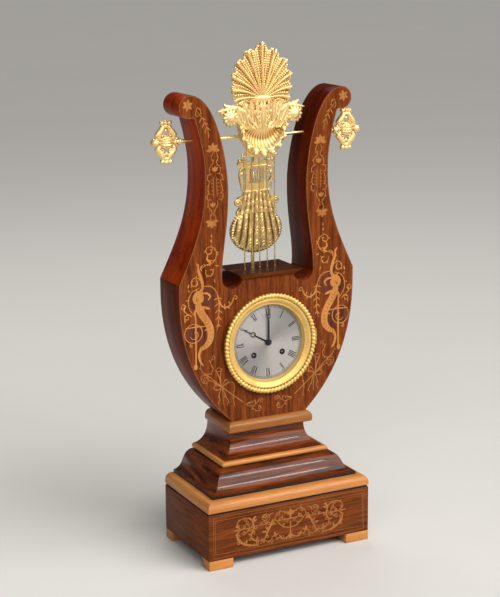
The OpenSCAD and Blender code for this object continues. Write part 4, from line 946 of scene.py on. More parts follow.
@dataclass
class Plinth:
    """Block feet, veneered box and the stepped mouldings up to the cap."""

    width: float = 206.4
    depth: float = 118.8
    foot: Triple = (30, 18, 11.3)
    box_z: Point = (11.3, 65.3)
    box_setback: float = 0.3
    strip_z: Point = (65.3, 68)
    strip_inset: float = 1.2
    base_z: Point = (68, 79.5)
    base_round: float = 7.5
    fillet_z: Point = (79.5, 82.5)
    ogee_inset: Point = (10.8, 35)
    ogee_z: Point = (82.5, 104.9)
    bead_z: Point = (104.9, 111.4)
    cavetto_inset: Point = (39.3, 56)
    cavetto_z: Point = (111.4, 140)
    cap_z: Point = (140, 153)
    cap_half: float = 53.7
    cap_y: Point = (-13.4, 52)
    low_core: float = 41.3
    high_core: float = 58
    edge: float = 0.35

    @staticmethod
    def drawn_up(name: str, half: float, y: Point, profile: Sequence[Point]) -> Obj:
        """A board drawn up along a profile that runs round its front and ends.

        Args:
            name: Name of the piece.
            half: Half of its width in mm.
            y: Its front and back in mm.
            profile: Points of [setback, height] from the bottom up, in mm.

        Returns:
            The new object.
        """
        front, back = y
        inset, z = profile[0]
        deselect()
        bpy.ops.mesh.primitive_plane_add(size=1, location=(0, (front + inset + back) / 2 * MM, z * MM))
        obj = named(name)
        obj.scale = (2 * (half - inset) * MM, (back - front - inset) * MM, 1)
        settle(obj)
        with editing(obj):
            for (was, low), (now, high) in zip(profile, profile[1:]):
                rise = (0, 0, (high - low) * MM)
                bpy.ops.mesh.extrude_region_move(TRANSFORM_OT_translate={"value": rise})
                grow = ((half - now) / (half - was), (back - front - now) / (back - front - was), 1)
                bpy.ops.transform.resize(value=grow, center_override=(0, back * MM, 0))
        return tidy(obj)

    def tier(self, name: str, profile: Sequence[Point], core: float) -> Obj:
        """A moulding round the front and ends, hollowed for the core.

        Args:
            name: Name of the piece.
            profile: Points of [setback, height] from the bottom up, in mm.
            core: Setback of the core's sides in mm.

        Returns:
            The new object.
        """
        half, back, reach = self.width / 2, self.depth / 2, 5
        obj = self.drawn_up(name, half, (-back, back), profile)
        low = (core - half, core - back, profile[0][1] - reach)
        room = block("core_room", low, (half - core, back + reach, profile[-1][1] + reach))
        modify(obj, "BOOLEAN", operation="DIFFERENCE", solver="EXACT", object=room)
        bpy.data.objects.remove(room)
        return ease_edges(obj, self.edge, 2, 40)

    @staticmethod
    def swept(inset: Point, z: Point, low_pull: Point, high_pull: Point) -> list[Point]:
        """A curved profile between two corners, bent by pulls given as shares of its run and rise."""
        a, b = (inset[0], z[0]), (inset[1], z[1])
        pulls = [(a[0] + x * (b[0] - a[0]), a[1] + y * (b[1] - a[1])) for x, y in (low_pull, high_pull)]
        return [*cubic(a, *pulls, b), b]

    def profiles(self) -> dict[str, list[Point]]:
        """Profiles of [setback, height] of the mouldings."""
        r = self.base_round
        low, high = self.ogee_inset
        half = (self.bead_z[1] - self.bead_z[0]) / 2
        return {
            "ebony_strip": [(self.strip_inset, z) for z in self.strip_z],
            "base_moulding": [(0, self.base_z[0]), *arc((r, self.base_z[1] - r), r, 180, 90, 12)],
            "ogee_fillet": [(low, z) for z in self.fillet_z],
            "ogee_moulding": self.swept(self.ogee_inset, self.ogee_z, (0.62, 0.08), (0.38, 0.92)),
            "bead_moulding": arc((high + half, self.bead_z[0] + half), half, 270, 90, 16),
            "cavetto_moulding": self.swept(self.cavetto_inset, self.cavetto_z, (0.65, 0.1), (1, 0.4)),
        }

    def build(self, finish: Palette) -> None:
        """Makes and dresses the plinth.

        Args:
            finish: The finishes.
        """
        mats = {"ebony_strip": (finish.ebony, "ebony"), "ogee_fillet": (finish.ebony, "ebony")}
        mats |= {n: (finish.box, "boxwood") for n in ("base_moulding", "bead_moulding")}
        mats |= {n: (finish.level, "rosewood") for n in ("ogee_moulding", "cavetto_moulding")}
        for node, profile in self.profiles().items():
            core = self.high_core if node == "cavetto_moulding" else self.low_core
            piece = self.tier(f"{node}_run", profile, core)
            dress(piece, mats[node][0], mats[node][1], [node])
        self.feet(finish)
        self.box(finish)
        self.cap(finish)

    def feet(self, finish: Palette) -> None:
        """Four block feet with eased edges.

        Args:
            finish: The finishes.
        """
        w, d, h = self.foot
        parts = []
        for sx in (-1, 1):
            for sy in (-1, 1):
                x, y = sx * (self.width - w) / 2, sy * (self.depth - d) / 2
                foot = block("foot", (x - w / 2, y - d / 2, 0), (x + w / 2, y + d / 2, h))
                parts.append(ease_edges(foot, 0.5))
        dress(join(parts, "block_feet"), finish.foot, "boxwood", ["feet"])

    def box(self, finish: Palette) -> None:
        """The veneered box, its front set back so that the inlay lies within the clock's outline."""
        half, back = self.width / 2, self.depth / 2
        low = (-half, self.box_setback - back, self.box_z[0])
        case = block("base_box_veneered", low, (half, back, self.box_z[1]))
        dress(ease_edges(case, 0.4), finish.base, "rosewood", ["base_box"])

    def cap(self, finish: Palette) -> None:
        """The cap: one board with a thumb moulding on its front and ends."""
        z0, z1 = self.cap_z
        low_r, top_r = 0.2 * (z1 - z0), 0.5 * (z1 - z0)
        edge = arc((low_r, z0 + low_r), low_r, 270, 180, 6)
        edge += arc((top_r, z1 - top_r), top_r, 180, 90, 10)
        board = ease_edges(self.drawn_up("cap_board", self.cap_half, self.cap_y, edge), self.edge, 2, 40)
        dress(board, finish.cap, "boxwood", ["cap_moulding"])


# Lyre


@dataclass
class Lyre:
    """The lyre's bowl and arms, its front veneer and the string shelf."""

    z0: float = 153
    front: float = -7.5
    veneer: float = 1.2
    back: float = 44.5
    foot_half: float = 47.5
    half: float = 110.6
    wide_z: float = 303
    shoulder_z: float = 318
    waist: Point = (77, 435)
    gap_waist: Point = (49, 420)
    scroll: Point = (94.3, 514)
    scroll_r: float = 12.7
    dip: Point = (45, 321)
    dip_r: float = 13
    neck_z: float = 317.7
    taper: float = 11
    dial_z: float = 240.5
    bore: float = 46.2
    edge: float = 0.5

    def bowl_edge(self) -> list[Point]:
        """Right edge of the bowl, from the cap to the shoulder."""
        foot, wide = (self.foot_half, self.z0), (self.half, self.wide_z)
        curve = cubic(foot, (foot[0] + 42, foot[1] + 38), (wide[0], wide[1] - 62), wide)
        return [*curve, wide, (self.half, self.shoulder_z)]

    def arm_edge(self) -> list[Point]:
        """Edge of the right arm, from the shoulder up, round the scroll and down to the dip."""
        cx, cz = self.scroll
        turn = radians(245)
        notch = (cx + self.scroll_r * cos(turn), cz + self.scroll_r * sin(turn))
        top = (cx, cz + self.scroll_r)
        (wx, wz), (gx, gz) = self.waist, self.gap_waist
        dip = (self.dip[0] + self.dip_r, self.dip[1])
        sx, sz = self.half, self.shoulder_z
        return [
            *cubic((sx, sz), (sx - 22.5, sz + 47), (wx, wz - 44), (wx, wz)),
            *cubic((wx, wz), (wx, wz + 26), (notch[0] - 7, notch[1] - 25), notch),
            *arc(self.scroll, self.scroll_r, 252, 449, 40),
            *cubic(top, (top[0] - 33, top[1]), (gx, gz + 30), (gx, gz)),
            *cubic((gx, gz), (gx, gz - 45), (dip[0], dip[1] + 31), dip),
        ]

    def dip_edge(self) -> list[Point]:
        """The round dip between arm and neck."""
        foot = degrees(asin((self.dip[1] - self.shoulder_z) / self.dip_r))
        side = degrees(asin((self.dip[1] - self.neck_z) / self.dip_r))
        return arc(self.dip, self.dip_r, -foot, side - 180, 32)

    @staticmethod
    def both(right: Sequence[Point]) -> list[Point]:
        """A closed outline from its right half."""
        return [*right, *((-x, z) for x, z in reversed(right))]

    def build(self, finish: Palette, frame: dict) -> None:
        """Makes and dresses the lyre.

        Args:
            finish: The finishes.
        """
        hole = circle((0, self.dial_z), self.bore, 96)
        bowl_line = self.both([*self.bowl_edge(), *self.dip_edge()])
        carcass = self.front + self.veneer
        bowl = slab("lyre_bowl_body", [bowl_line, hole], carcass, self.back)
        # The bowl is dressed in the darker rosewood that paints shade on its sides.
        dress(ease_edges(bowl, self.edge, 2, 50), finish.shade, "rosewood", ["lyre_bowl"])
        foot_in = self.dip_edge()[0]
        arm = slab("arm_right", [[*self.arm_edge(), foot_in]], carcass, self.back)
        top = self.scroll[1] + self.scroll_r
        for v in arm.data.vertices:
            if v.co.y > (self.back - 1) * MM:
                rise = (v.co.z / MM - self.shoulder_z) / (top - self.shoulder_z)
                v.co.y -= self.taper * rise * MM
        ease_edges(arm, self.edge, 2, 50)
        other = mirrored_copy(arm, "arm_left")
        for obj, node in ((arm, "right_arm"), (other, "left_arm")):
            # Painted shade: the arms' faces that turn towards the middle are marked for darkening.
            ways = [(f.normal.x, f.center.x) for f in obj.data.polygons]
            mark_faces(obj, "inner", [float(n * x < -0.02 * abs(x)) for n, x in ways])
            dress(obj, finish.side, "rosewood", [node])
        outline = self.both([*self.bowl_edge(), *self.arm_edge(), *self.dip_edge()])
        face = slab("front_veneer_sheet", [outline, hole], self.front, carcass)
        dress(ease_edges(face, 0.35, 2, 50), finish.front, "rosewood", ["front_veneer"])
        shelf = cad_copy("string_shelf", "string_shelf_eased", 0.4, frame)
        # Painted light and shade: the shelf's top faces are darkened most, its forward faces keep their
        # full colour and the rest are darkened less.
        top, front, rest = 0.9, 0.0, 0.7
        turns = [f.normal for f in shelf.data.polygons]
        mark_faces(shelf, "inner", [top if n.z > 0.8 else front if n.y < -0.3 else rest for n in turns])
        dress(shelf, finish.shelf, "rosewood", ["string_shelf"])


# Marquetry


@dataclass(frozen=True)
class Stroke:
    """One sawn line of an inlay: points in mm and its width at the start, middle and end."""

    points: tuple[Point, ...]
    widths: Triple = (0.7, 1.1, 0.5)


def leaf_shape(at: Point, length: float, width: float, turn: float) -> Stroke:
    """A single leaf from its foot, pointing along turn in degrees.

    Args:
        at: Its foot.
        length: Length in mm.
        width: Width in mm.
        turn: Its direction.

    Returns:
        The stroke.
    """
    a = radians(turn)
    tip = (at[0] + length * cos(a), at[1] + length * sin(a))
    mid = ((at[0] + tip[0]) / 2, (at[1] + tip[1]) / 2)
    return Stroke((at, mid, tip), (0.3, width, 0.15))


def leaves(*rows: Sequence[float]) -> list[Stroke]:
    """Single leaves from rows of x, z, length, width and turn."""
    return [leaf_shape((x, z), *rest) for x, z, *rest in rows]


def curl(centre: Point, r: float, start: float, sweep: float, thick: float, shrink: float) -> Stroke:
    """A scroll that winds inwards.

    Args:
        centre: Middle of the scroll in mm.
        r: Outer radius in mm.
        start: Angle of its outer end, degrees.
        sweep: Turn to its inner end, degrees.
        thick: Width of the line in mm.
        shrink: Share of the radius left at the inner end.

    Returns:
        The stroke.
    """
    steps = max(6, int(abs(sweep) / 40))
    pts = []
    for i in range(steps + 1):
        t = i / steps
        a = radians(start + sweep * t)
        rr = r * (1 - (1 - shrink) * t)
        pts.append((centre[0] + rr * cos(a), centre[1] + rr * sin(a)))
    return Stroke(tuple(pts), (thick * 0.7, thick, thick * 1.3))


def flower(at: Point, r: float, petals: int, turn: float = 90.0, spread: float = 360.0) -> list[Stroke]:
    """Petals round a point, all the way or over a fan.

    Args:
        at: The point.
        r: Length of a petal in mm.
        petals: Number of petals.
        turn: Direction of the first petal, or of a fan's middle.
        spread: Degrees that they fill.

    Returns:
        The strokes.
    """
    closed = spread >= 360.0
    gaps = petals if closed else petals - 1
    turns = [turn + (k * spread / gaps if closed else spread * (k / gaps - 0.5)) for k in range(petals)]
    return [leaf_shape(at, r, r * 0.62, a) for a in turns]


def stations(stroke: Stroke, gap: float, first: float = 0.0) -> Iterator[tuple[Point, float]]:
    """Points at even distances along a stroke, each with the line's direction there in degrees.

    Args:
        stroke: The stroke.
        gap: Distance between the points in mm.
        first: Share of the gap that counts as walked at the start.

    Yields:
        Each point and direction.
    """
    path = through(stroke.points, 7)
    walked = gap * first
    for (ax, az), (bx, bz) in zip(path, path[1:]):
        walked += hypot(bx - ax, bz - az)
        if walked >= gap:
            walked = 0.0
            yield (bx, bz), degrees(atan2(bz - az, bx - ax))


def leafy(strokes: Sequence[Stroke], gap: float, size: float) -> list[Stroke]:
    """Strokes with small leaves that spring from the longer ones, left and right in turn.

    Args:
        strokes: The strokes.
        gap: Distance between leaves in mm.
        size: Length of a leaf in mm.

    Returns:
        The strokes and their leaves.
    """
    out = list(strokes)
    for stroke in strokes:
        side = 1
        for at, turn in stations(stroke, gap) if len(stroke.points) > 3 else ():
            side = -side
            out.append(leaf_shape(at, size, size * 0.36, turn + side * 48))
    return out


def tendrils(strokes: Sequence[Stroke], gap: float, r: float, low: float, high: float) -> list[Stroke]:
    """Small scrolls that leave the longer strokes to the left and right in turn.

    Args:
        strokes: The strokes.
        gap: Distance between scrolls in mm.
        r: Outer radius of a scroll in mm.
        low: Lowest height that a scroll may reach, in mm.
        high: Highest height that a scroll may reach, in mm.

    Returns:
        The scrolls, without the strokes.
    """
    out = []
    for stroke in strokes:
        side = 1
        for (x, z), turn in stations(stroke, gap, 0.5) if len(stroke.points) > 3 else ():
            side = -side
            away = radians(turn + 90 * side)
            centre = (x + r * cos(away), z + r * sin(away))
            if low + r < centre[1] < high - r:
                out.append(curl(centre, r, turn - 90 * side, side * 400, 0.9, 0.3))
    return out


def rungs(stroke: Stroke, gap: float, half: float) -> list[Stroke]:
    """Short bowed lines across a stroke, as an engraver shades it.

    Args:
        stroke: The stroke.
        gap: Distance between them in mm.
        half: Half of their length in mm.

    Returns:
        The strokes.
    """
    out = []
    for (x, z), turn in stations(stroke, gap):
        dx, dz = cos(radians(turn)), sin(radians(turn))
        bow = ((-1, 0.7), (0, 0.0), (1, 0.7))
        ends = [(x - k * half * dz - back * dx, z + k * half * dx - back * dz) for k, back in bow]
        out.append(Stroke(tuple(ends), (0.15, 0.4, 0.15)))
    return out


@dataclass(frozen=True)
class Drawing:
    """A drawing of the inlay, in rows of numbers for its lines, curls and leaves."""

    lines: tuple[Row, ...]
    curls: tuple[Row, ...]
    leaves: tuple[Row, ...]

    def strokes(self) -> list[Stroke]:
        """All its strokes. A line's row holds three widths, and then x and z of each point."""
        out = [Stroke(tuple(zip(row[3::2], row[4::2])), row[:3]) for row in self.lines]
        out += [curl((x, z), *rest) for x, z, *rest in self.curls]
        return out + leaves(*self.leaves)


# The left shoulder's inlay, from the top scrolls to the figure's head
SHOULDER = Drawing(
    lines=(
        (0.7, 1.1, 0.5, -73, 359.2, -66, 356, -64.5, 348, -69, 341, -78, 338.5, -86, 333),
        (1.2, 2.6, 0.8, -75, 350, -76, 345, -72, 342, -76, 338),
        (0.6, 4.2, 2.4, -86.5, 341, -87, 334, -84, 325, -82, 317, -83, 309),
    ),
    curls=(
        (-73, 354, 5.2, 90, 330, 1, 0.4), (-72.5, 330.5, 6, 150, 300, 1.1, 0.45),
        (-91, 320, 6.6, 10, 400, 1.2, 0.35),
    ),
    leaves=(
        (-65, 351, 3.6, 1.2, 20), (-73.5, 341, 5, 1.8, 40), (-66, 337, 4.6, 1.3, -10),
        (-68, 322, 4.4, 1.3, -70), (-86.5, 337, 6.5, 2, 120), (-85, 335, 6, 1.8, 50),
        (-98.5, 319.5, 5, 2, -105), (-99.5, 313, 3.6, 1.5, -70),
    ),
)

# The left side's plain winged figure with its hoop, staff and tail
FIGURE = Drawing(
    lines=(
        (0.7, 1, 0.8, -86, 313.5, -95, 310, -99.5, 301, -98.5, 291, -93, 283.5),
        (0.7, 1, 0.8, -80.5, 315, -72, 314, -66, 308.5, -63, 301),
        (2.6, 5.6, 2.4, -91, 296.5, -92, 303, -87.5, 308, -81.5, 307),
        (4, 8.6, 4, -89, 306, -85, 302.5, -84.6, 297),
        (2, 2.2, 0.9, -82, 307, -76.5, 306.5, -73, 303, -75.5, 298.5),
        (4, 7.4, 9, -86.6, 299, -87.6, 293, -85, 286.5),
        (3.4, 3, 1.2, -86, 292, -79, 290.5, -73.5, 288.5),
        (2.6, 2.8, 1.6, -88, 292, -91.5, 287.5, -92, 282),
        (9.5, 8.4, 3.4, -86, 290, -83, 283, -77.5, 275, -73.2, 265, -73.5, 254, -79, 246.5, -85.5, 243),
        (3.4, 2.8, 1, -84.5, 245, -87.5, 237, -86, 229, -82.5, 224),
        (1.7, 2, 1.6, -91.2, 282, -91.2, 254, -91.5, 226),
        (0.8, 1.5, 0.8, -104, 269.2, -91, 269.8, -79, 269.2),
        (2.6, 4.6, 2.6, -92, 226.5, -92, 223.6, -92, 220.6),
        (0.8, 1.6, 0.7, -104, 283, -100, 285, -95.5, 281.5),
        (0.7, 1.4, 0.6, -101, 286, -105, 290, -103, 294.5, -106.5, 297.5),
    ),
    curls=(
        (-94, 262.5, 10.8, 70, 360, 1, 1), (-92.5, 261, 6, 200, 260, 0.9, 0.5),
        (-101.5, 281.5, 3.8, 60, 330, 1, 0.35), (-106, 293.5, 2.8, 80, 320, 0.9, 0.4),
        (-97, 249, 2.2, 100, 260, 0.8, 0.5),
    ),
    leaves=(
        (-99, 301, 4, 1.1, 185), (-86.5, 241, 6, 1.8, 70), (-79, 246.5, 5.5, 1.6, 10),
        (-104.5, 280, 4.4, 1.4, -80), (-98.5, 252, 4.6, 1.1, -70), (-88.5, 308.5, 4, 1.6, 115),
        (-85.5, 309, 4, 1.6, 70), (-81, 281, 5, 1.8, -150), (-76, 266, 5, 1.6, 200),
    ),
)

# The left side's sprig beside the dial, and the scroll that runs to the neck
SPRIG = Drawing(
    lines=(
        (1.6, 1.3, 0.4, -63.5, 303, -62, 293, -62.5, 281, -63, 270, -65.5, 262),
        (2.6, 1.9, 1.3, -62, 297, -59, 290.5, -52.5, 288, -46.5, 292, -43.5, 299),
    ),
    curls=(
        (-41.8, 297.6, 2.8, 130, -260, 1.1, 0.4),
    ),
    leaves=(
        (-63, 300, 6, 1.5, 200), (-63, 300, 5, 1.5, -20), (-62.3, 294, 7, 1.5, 215),
        (-62.2, 287, 6.5, 1.5, 220), (-62.2, 286, 6, 1.5, -45), (-62.6, 279, 6, 1.5, 225),
        (-62.6, 278, 5.5, 1.5, -50), (-63.2, 270, 5, 1.5, 235), (-63.2, 270, 4.5, 1.5, -55),
        (-56, 288.6, 3.4, 1.5, -60), (-51, 288.4, 3.4, 1.5, -50), (-48.5, 291.5, 3.6, 1.5, 120),
        (-54.5, 289, 3.8, 1.5, 110),
    ),
)

# The left lower scroll, the ribbon bow with its crossed arrow, and the spray beside the middle
BOW = Drawing(
    lines=(
        (0.8, 1.2, 0.8, -85.5, 231, -86, 221, -81, 214, -74, 213.5, -70.5, 219, -73.5, 226, -71, 232),
        (0.7, 0.9, 0.7, -86, 211.5, -80, 212.5, -76, 208, -80, 203, -85, 206.5, -86, 211.5),
        (0.8, 1.2, 0.9, -76.5, 206, -70.5, 203.5, -65, 199, -60, 195.5),
        (1.2, 1.6, 1, -60.5, 196, -62.5, 206, -67, 216),
        (1.2, 1.6, 1, -60.5, 196, -61.5, 207, -60.5, 216.5),
        (0.7, 0.8, 0.7, -67.5, 216, -63.5, 214.5, -60, 217, -64, 219, -67.5, 216),
        (0.8, 1.4, 1.5, -79, 213.5, -58, 194.5, -33.5, 174.5),
        (1.2, 1.3, 0.7, -60, 195.5, -52, 200.5, -45.5, 198.5, -44, 191, -46, 182, -44, 172),
        (0.9, 1.2, 0.9, -60, 195.5, -67, 199.5, -70, 195.5, -65.5, 193, -60, 195),
        (0.9, 1, 0.6, -60, 195, -56, 203.5, -52, 203, -54.5, 197),
        (1, 1.2, 0.6, -61, 194.5, -63.5, 187, -62.5, 181, -65.5, 177),
        (1, 1.2, 0.6, -59.5, 194, -58.5, 184, -58.5, 174.5),
        (1, 1.2, 0.6, -58.5, 194, -55, 184, -52, 178.5, -53.5, 173),
        (0.7, 1.1, 0.6, -29, 170, -22, 168, -15, 171.5, -11, 176, -8, 174),
        (0.7, 1, 0.6, -23, 168, -18, 162.5, -12, 161, -9.5, 164.5),
    ),
    curls=(
        (-69.6, 231.6, 2.2, 150, -240, 1.1, 0.45), (-80.5, 207.6, 2.6, 0, 300, 0.8, 0.5),
        (-10, 173.2, 2.6, 70, -260, 0.8, 0.45), (-12, 164, 2.5, 0, 250, 0.8, 0.45),
    ),
    leaves=(
        (-76, 230, 6, 1, -60), (-30, 171, 8, 2.4, 15), (-17.5, 170.5, 5.5, 1.6, 100),
        (-22.5, 170.5, 5, 1.4, 60), (-19.5, 165.5, 4.6, 1.4, -150), (-14, 167.5, 4, 1.3, -20),
    ),
)

# Right half of the base panel's arabesque
PANEL = Drawing(
    lines=(
        (1, 1.6, 1, 0.6, 34, 9, 36.5, 17.5, 44.5),
        (0.7, 1.2, 0.8, 0.4, 45, 8, 45.6, 17, 45, 20, 49, 16, 54.6, 9, 55.2, 4, 51),
        (1.6, 3, 0.8, 22.5, 48, 26, 40.5, 30, 33, 33.5, 26),
        (0.9, 1.1, 0.8, 27, 49, 30, 45, 36, 43.4, 43, 44, 47, 43.5),
        (1, 1.2, 0.5, 28, 50, 25.5, 54.5, 21.5, 55.5),
        (3.2, 2.2, 0.8, 44.5, 55.5, 48.5, 50.5, 46.8, 42.5, 50.5, 34, 48, 28, 41, 25.2, 34.5, 26),
        (0.9, 1.3, 0.7, 52.5, 54.5, 60, 55.8, 67, 52.5, 69, 46),
        (0.8, 1.2, 1.6, 47, 42.8, 52, 42.8, 57, 42.8, 64, 42.8),
        (0.9, 3.2, 0.7, 68, 40, 67.5, 32, 60, 25, 50, 21.5, 41, 20.8),
        (0.8, 1.2, 0.8, 39, 21.2, 34, 24, 28, 22, 24, 24.5),
        (1.2, 1.8, 0.7, 0.5, 27, 5, 23, 10, 22, 15, 24.5, 19.5, 22.5),
    ),
    curls=(
        (33, 52.6, 4.6, 200, 420, 1, 0.35), (57, 42.8, 5.2, 60, 260, 1, 0.8),
        (24.5, 22.4, 2.4, 90, 280, 0.8, 0.45),
    ),
    leaves=(
        (9.5, 46, 5, 1.6, 70), (11, 38, 4.5, 1.5, 150), (30.5, 34.5, 6.5, 3, 8), (29, 36.5, 5.5, 2, 50),
        (24.5, 43.5, 6, 1.9, 200), (48.5, 51, 7.5, 2.6, 40), (47.5, 50, 5.5, 1.8, 165),
        (50.3, 35, 4.5, 1.5, 10), (44, 26.5, 5, 1.6, 110), (64, 43.5, 8, 2, 40), (64, 42.8, 9, 2, 2),
        (64, 42, 8, 2, -38), (63, 28, 7, 2.8, 50), (57, 24, 6, 2.4, 100), (12, 23.5, 5, 2.2, 60),
        (6, 23, 4, 1.6, -20), (19.5, 28, 5, 3, 75), (19.5, 28, 4.2, 2.2, 160), (19.5, 28, 4.2, 2.2, -10),
        (18.5, 24, 4.2, 1.5, 80),
    ),
)


@dataclass
class Marquetry:
    """Light wood inlay of the lyre's front and of the base panel."""

    lyre_front: float = -7.5
    base_front: float = -59.1
    proud: float = 0.07
    step: float = 0.004
    layers: int = 32
    engraved: float = 0.14
    edge_inset: float = 0.75

    @staticmethod
    def edges(path: Sequence[Point], offset: Callable[[float], float]) -> list[Point]:
        """A path moved to its left by an offset that depends on the share along it.

        Args:
            path: The path.
            offset: The offset in mm for a share.

        Returns:
            The points.
        """
        last = len(path) - 1
        out = []
        for i, (x, z) in enumerate(path):
            a, b = path[max(0, i - 1)], path[min(last, i + 1)]
            dx, dz = b[0] - a[0], b[1] - a[1]
            size = hypot(dx, dz) or 1
            w = offset(i / last)
            out.append((x - w * dz / size, z + w * dx / size))
        return out

    def ribbons(
        self, name: str, strokes: Sequence[Stroke], front: float, both_sides: bool = True, fine: float = 1.0
    ) -> Obj:
        """Thin inlay pieces for a set of strokes.

        Args:
            name: Name of the piece.
            strokes: The strokes, in X and Z.
            front: Y of the surface that they are let into.
            both_sides: Whether the strokes repeat on the other side of the middle.
            fine: Share of each stroke's width that is sawn.

        Returns:
            The new object.
        """
        verts: list[Triple] = []
        faces: list[tuple[int, ...]] = []
        for k, stroke in enumerate(strokes):
            path = through(stroke.points, 7)
            y = front - self.proud - self.step * (k % self.layers)
            w0, w1, w2 = (w * fine / 2 for w in stroke.widths)

            def half_width(t: float) -> float:
                """Half of the stroke's width at a share of its length."""
                end = w0 if t < 0.5 else w2
                return end + (w1 - end) * sin(pi * t)

            left, right = (self.edges(path, lambda t: s * half_width(t)) for s in (1, -1))
            for side in (1, -1) if both_sides else (1,):
                start = len(verts)
                verts += [(side * x, y, z) for pair in zip(left, right) for x, z in pair]
                for i in range(start, len(verts) - 2, 2):
                    faces.append((i, i + 1, i + 3, i + 2)[::side])
        return draw_back(sheet(name, verts, faces), 3 * self.proud)

    @staticmethod
    def arm_strokes() -> list[Stroke]:
        """The left arm's inlay, from the scroll down to the shoulder."""
        out = flower((-96.5, 516), 6.4, 6, 20)
        out += [
            Stroke(((-86.5, 510), (-80, 502.5), (-75, 494), (-71.5, 484)), (0.5, 0.9, 0.5)),
            Stroke(((-86.5, 510), (-84.5, 513), (-81.5, 510.5), (-81, 505.5))),
            Stroke(((-86.5, 510), (-87, 505), (-83.5, 503))),
        ]
        out += leaves(
            (-80, 502, 6.5, 1.5, -120), (-80, 502, 6.5, 1.5, -30), (-77, 497, 7, 1.5, -112),
            (-77, 497, 6, 1.5, -35), (-74.5, 492, 8, 1.5, -105), (-74.5, 492, 7, 1.5, -45),
            (-72, 486, 7, 1.5, -88),
        )
        out += flower((-67, 466), 8, 5, 90, 190)
        runs = (
            (-65, ((1, 465), (4, 458), (2, 452), (6.5, 446), (6, 440))),
            (-65, ((3, 440), (8.6, 438), (9, 433), (6, 432))),
            (-65, ((6, 432), (8.2, 426), (8.6, 420), (6, 418))),
            (-65, ((6, 418), (9.4, 417), (9, 411.5), (4, 411))),
            (-68, ((5.5, 410), (5.5, 404), (1.2, 397), (3.5, 391), (1, 386))),
        )
        for s in (-1, 1):
            out += [Stroke(tuple((middle + s * x, z) for x, z in run)) for middle, run in runs]
            string = -65 + s * 2.2
            out.append(Stroke(((string, 436), (string, 414)), (0.7, 0.8, 0.7)))
            out += leaves(*((string, 433 - 4 * k, 2.8, 0.8, 90 - s * 80) for k in range(5)))
        out += flower((-65, 442), 6, 3, 90, 70)
        out += flower((-68, 403), 5.5, 3, 90, 70)
        out += flower((-69.5, 386.5), 7.5, 5, -90, 190)
        drops = ((-70.5, 373, 4, 2.2, -90), (-70.8, 367.5, 4.5, 2.6, -90), (-70.8, 361.5, 2.6, 1.4, -90))
        return out + leaves(*drops)

    def grounds(self) -> Obj:
        """Dark ovals let in behind the figures."""
        parts = []
        for x, z, wide, tall in ((-82.5, 299.5, 15.5, 15), (-83, 260.5, 10, 12), (-94, 262.5, 10.6, 10.6)):
            for side in (-1, 1):
                oval = [(side * (x + wide * c), z + tall * n) for c, n in circle((0, 0), 1, 48)]
                front = self.lyre_front - self.proud / 2 + self.step * len(parts)
                parts.append(slab("ground", [oval], front, self.lyre_front + 0.1))
        return join(parts, "inlay_grounds")

    @staticmethod
    def panel_middle() -> list[Stroke]:
        """The arabesque's middle stem and flowers."""
        out = [
            Stroke(((0, 56.5), (0, 49), (0, 44)), (1, 2.8, 1.2)),
            Stroke(((0, 42), (0, 34), (0, 21.5)), (1, 1.6, 1.2)),
        ]
        out += [*flower((0, 50), 7, 3, 90, 110), *flower((0, 25), 4.6, 3, -90, 120)]
        return out + leaves((0, 45, 5, 2, 180), (0, 45, 5, 2, 0))

    @staticmethod
    def frame_lines() -> list[Stroke]:
        """Two thin stringing lines round the base panel."""
        out = []
        for half, low, high in ((97.3, 14.2, 62.4), (95.2, 18.6, 58.6)):
            corners = ((-half, low), (half, low), (half, high), (-half, high), (-half, low))
            for a, b in zip(corners, corners[1:]):
                mid = ((a[0] + b[0]) / 2, (a[1] + b[1]) / 2)
                out.append(Stroke((a, mid, b), (0.45, 0.45, 0.45)))
        return out

    def build(self, finish: Palette, lyre: Lyre) -> None:
        """Makes and dresses all the inlay.

        Args:
            finish: The finishes.
            lyre: The lyre whose edge the stringing line follows.
        """

        def lay(name: str, strokes: Sequence[Stroke], mat: Mat, *where: float) -> None:
            """Saws one set of strokes, lays it where ribbons is told to, and dresses it."""
            slot = "rosewood" if mat is finish.ground else "boxwood"
            dress(self.ribbons(name, strokes, *where), mat, slot)

        front, base = self.lyre_front, self.base_front
        figure, stems = FIGURE.strokes(), PANEL.strokes()
        lay("inlay_arms", leafy(self.arm_strokes(), 5, 2.4), finish.fine, front, True, 0.82)
        lay("inlay_shoulders", leafy(SHOULDER.strokes(), 6, 3), finish.inlay, front, True, 0.85)
        lay("inlay_figures", figure, finish.inlay, front)
        lay("inlay_sprigs", SPRIG.strokes(), finish.inlay, front, True, 0.85)
        lay("inlay_bows", leafy(BOW.strokes(), 8, 2.6), finish.fine, front, True, 0.8)
        dress(self.grounds(), finish.ground, "rosewood")
        thick = [stroke for stroke in figure if stroke.widths[0] > 9]
        shading = [rung for stroke in thick for rung in rungs(stroke, 3.4, 0.26 * stroke.widths[1])]
        lay("inlay_engraving", shading, finish.ground, front - self.engraved)
        scrolls = tendrils(stems, 7.5, 2.1, 19.8, 57.6)
        lay("inlay_base_panel", [*leafy(stems, 5.4, 3), *scrolls], finish.fine, base, True, 0.8)
        lay("inlay_base_middle", self.panel_middle(), finish.fine, base, False, 0.8)
        lay("inlay_base_lines", self.frame_lines(), finish.line, base, False)
        runs = (lyre.bowl_edge()[1:], lyre.arm_edge())
        runs = [self.edges(run, lambda _: self.edge_inset) for run in runs]
        lay("inlay_edge_line", [Stroke(tuple(run), (0.5, 0.5, 0.5)) for run in runs], finish.line, front)


# Gilt mounts


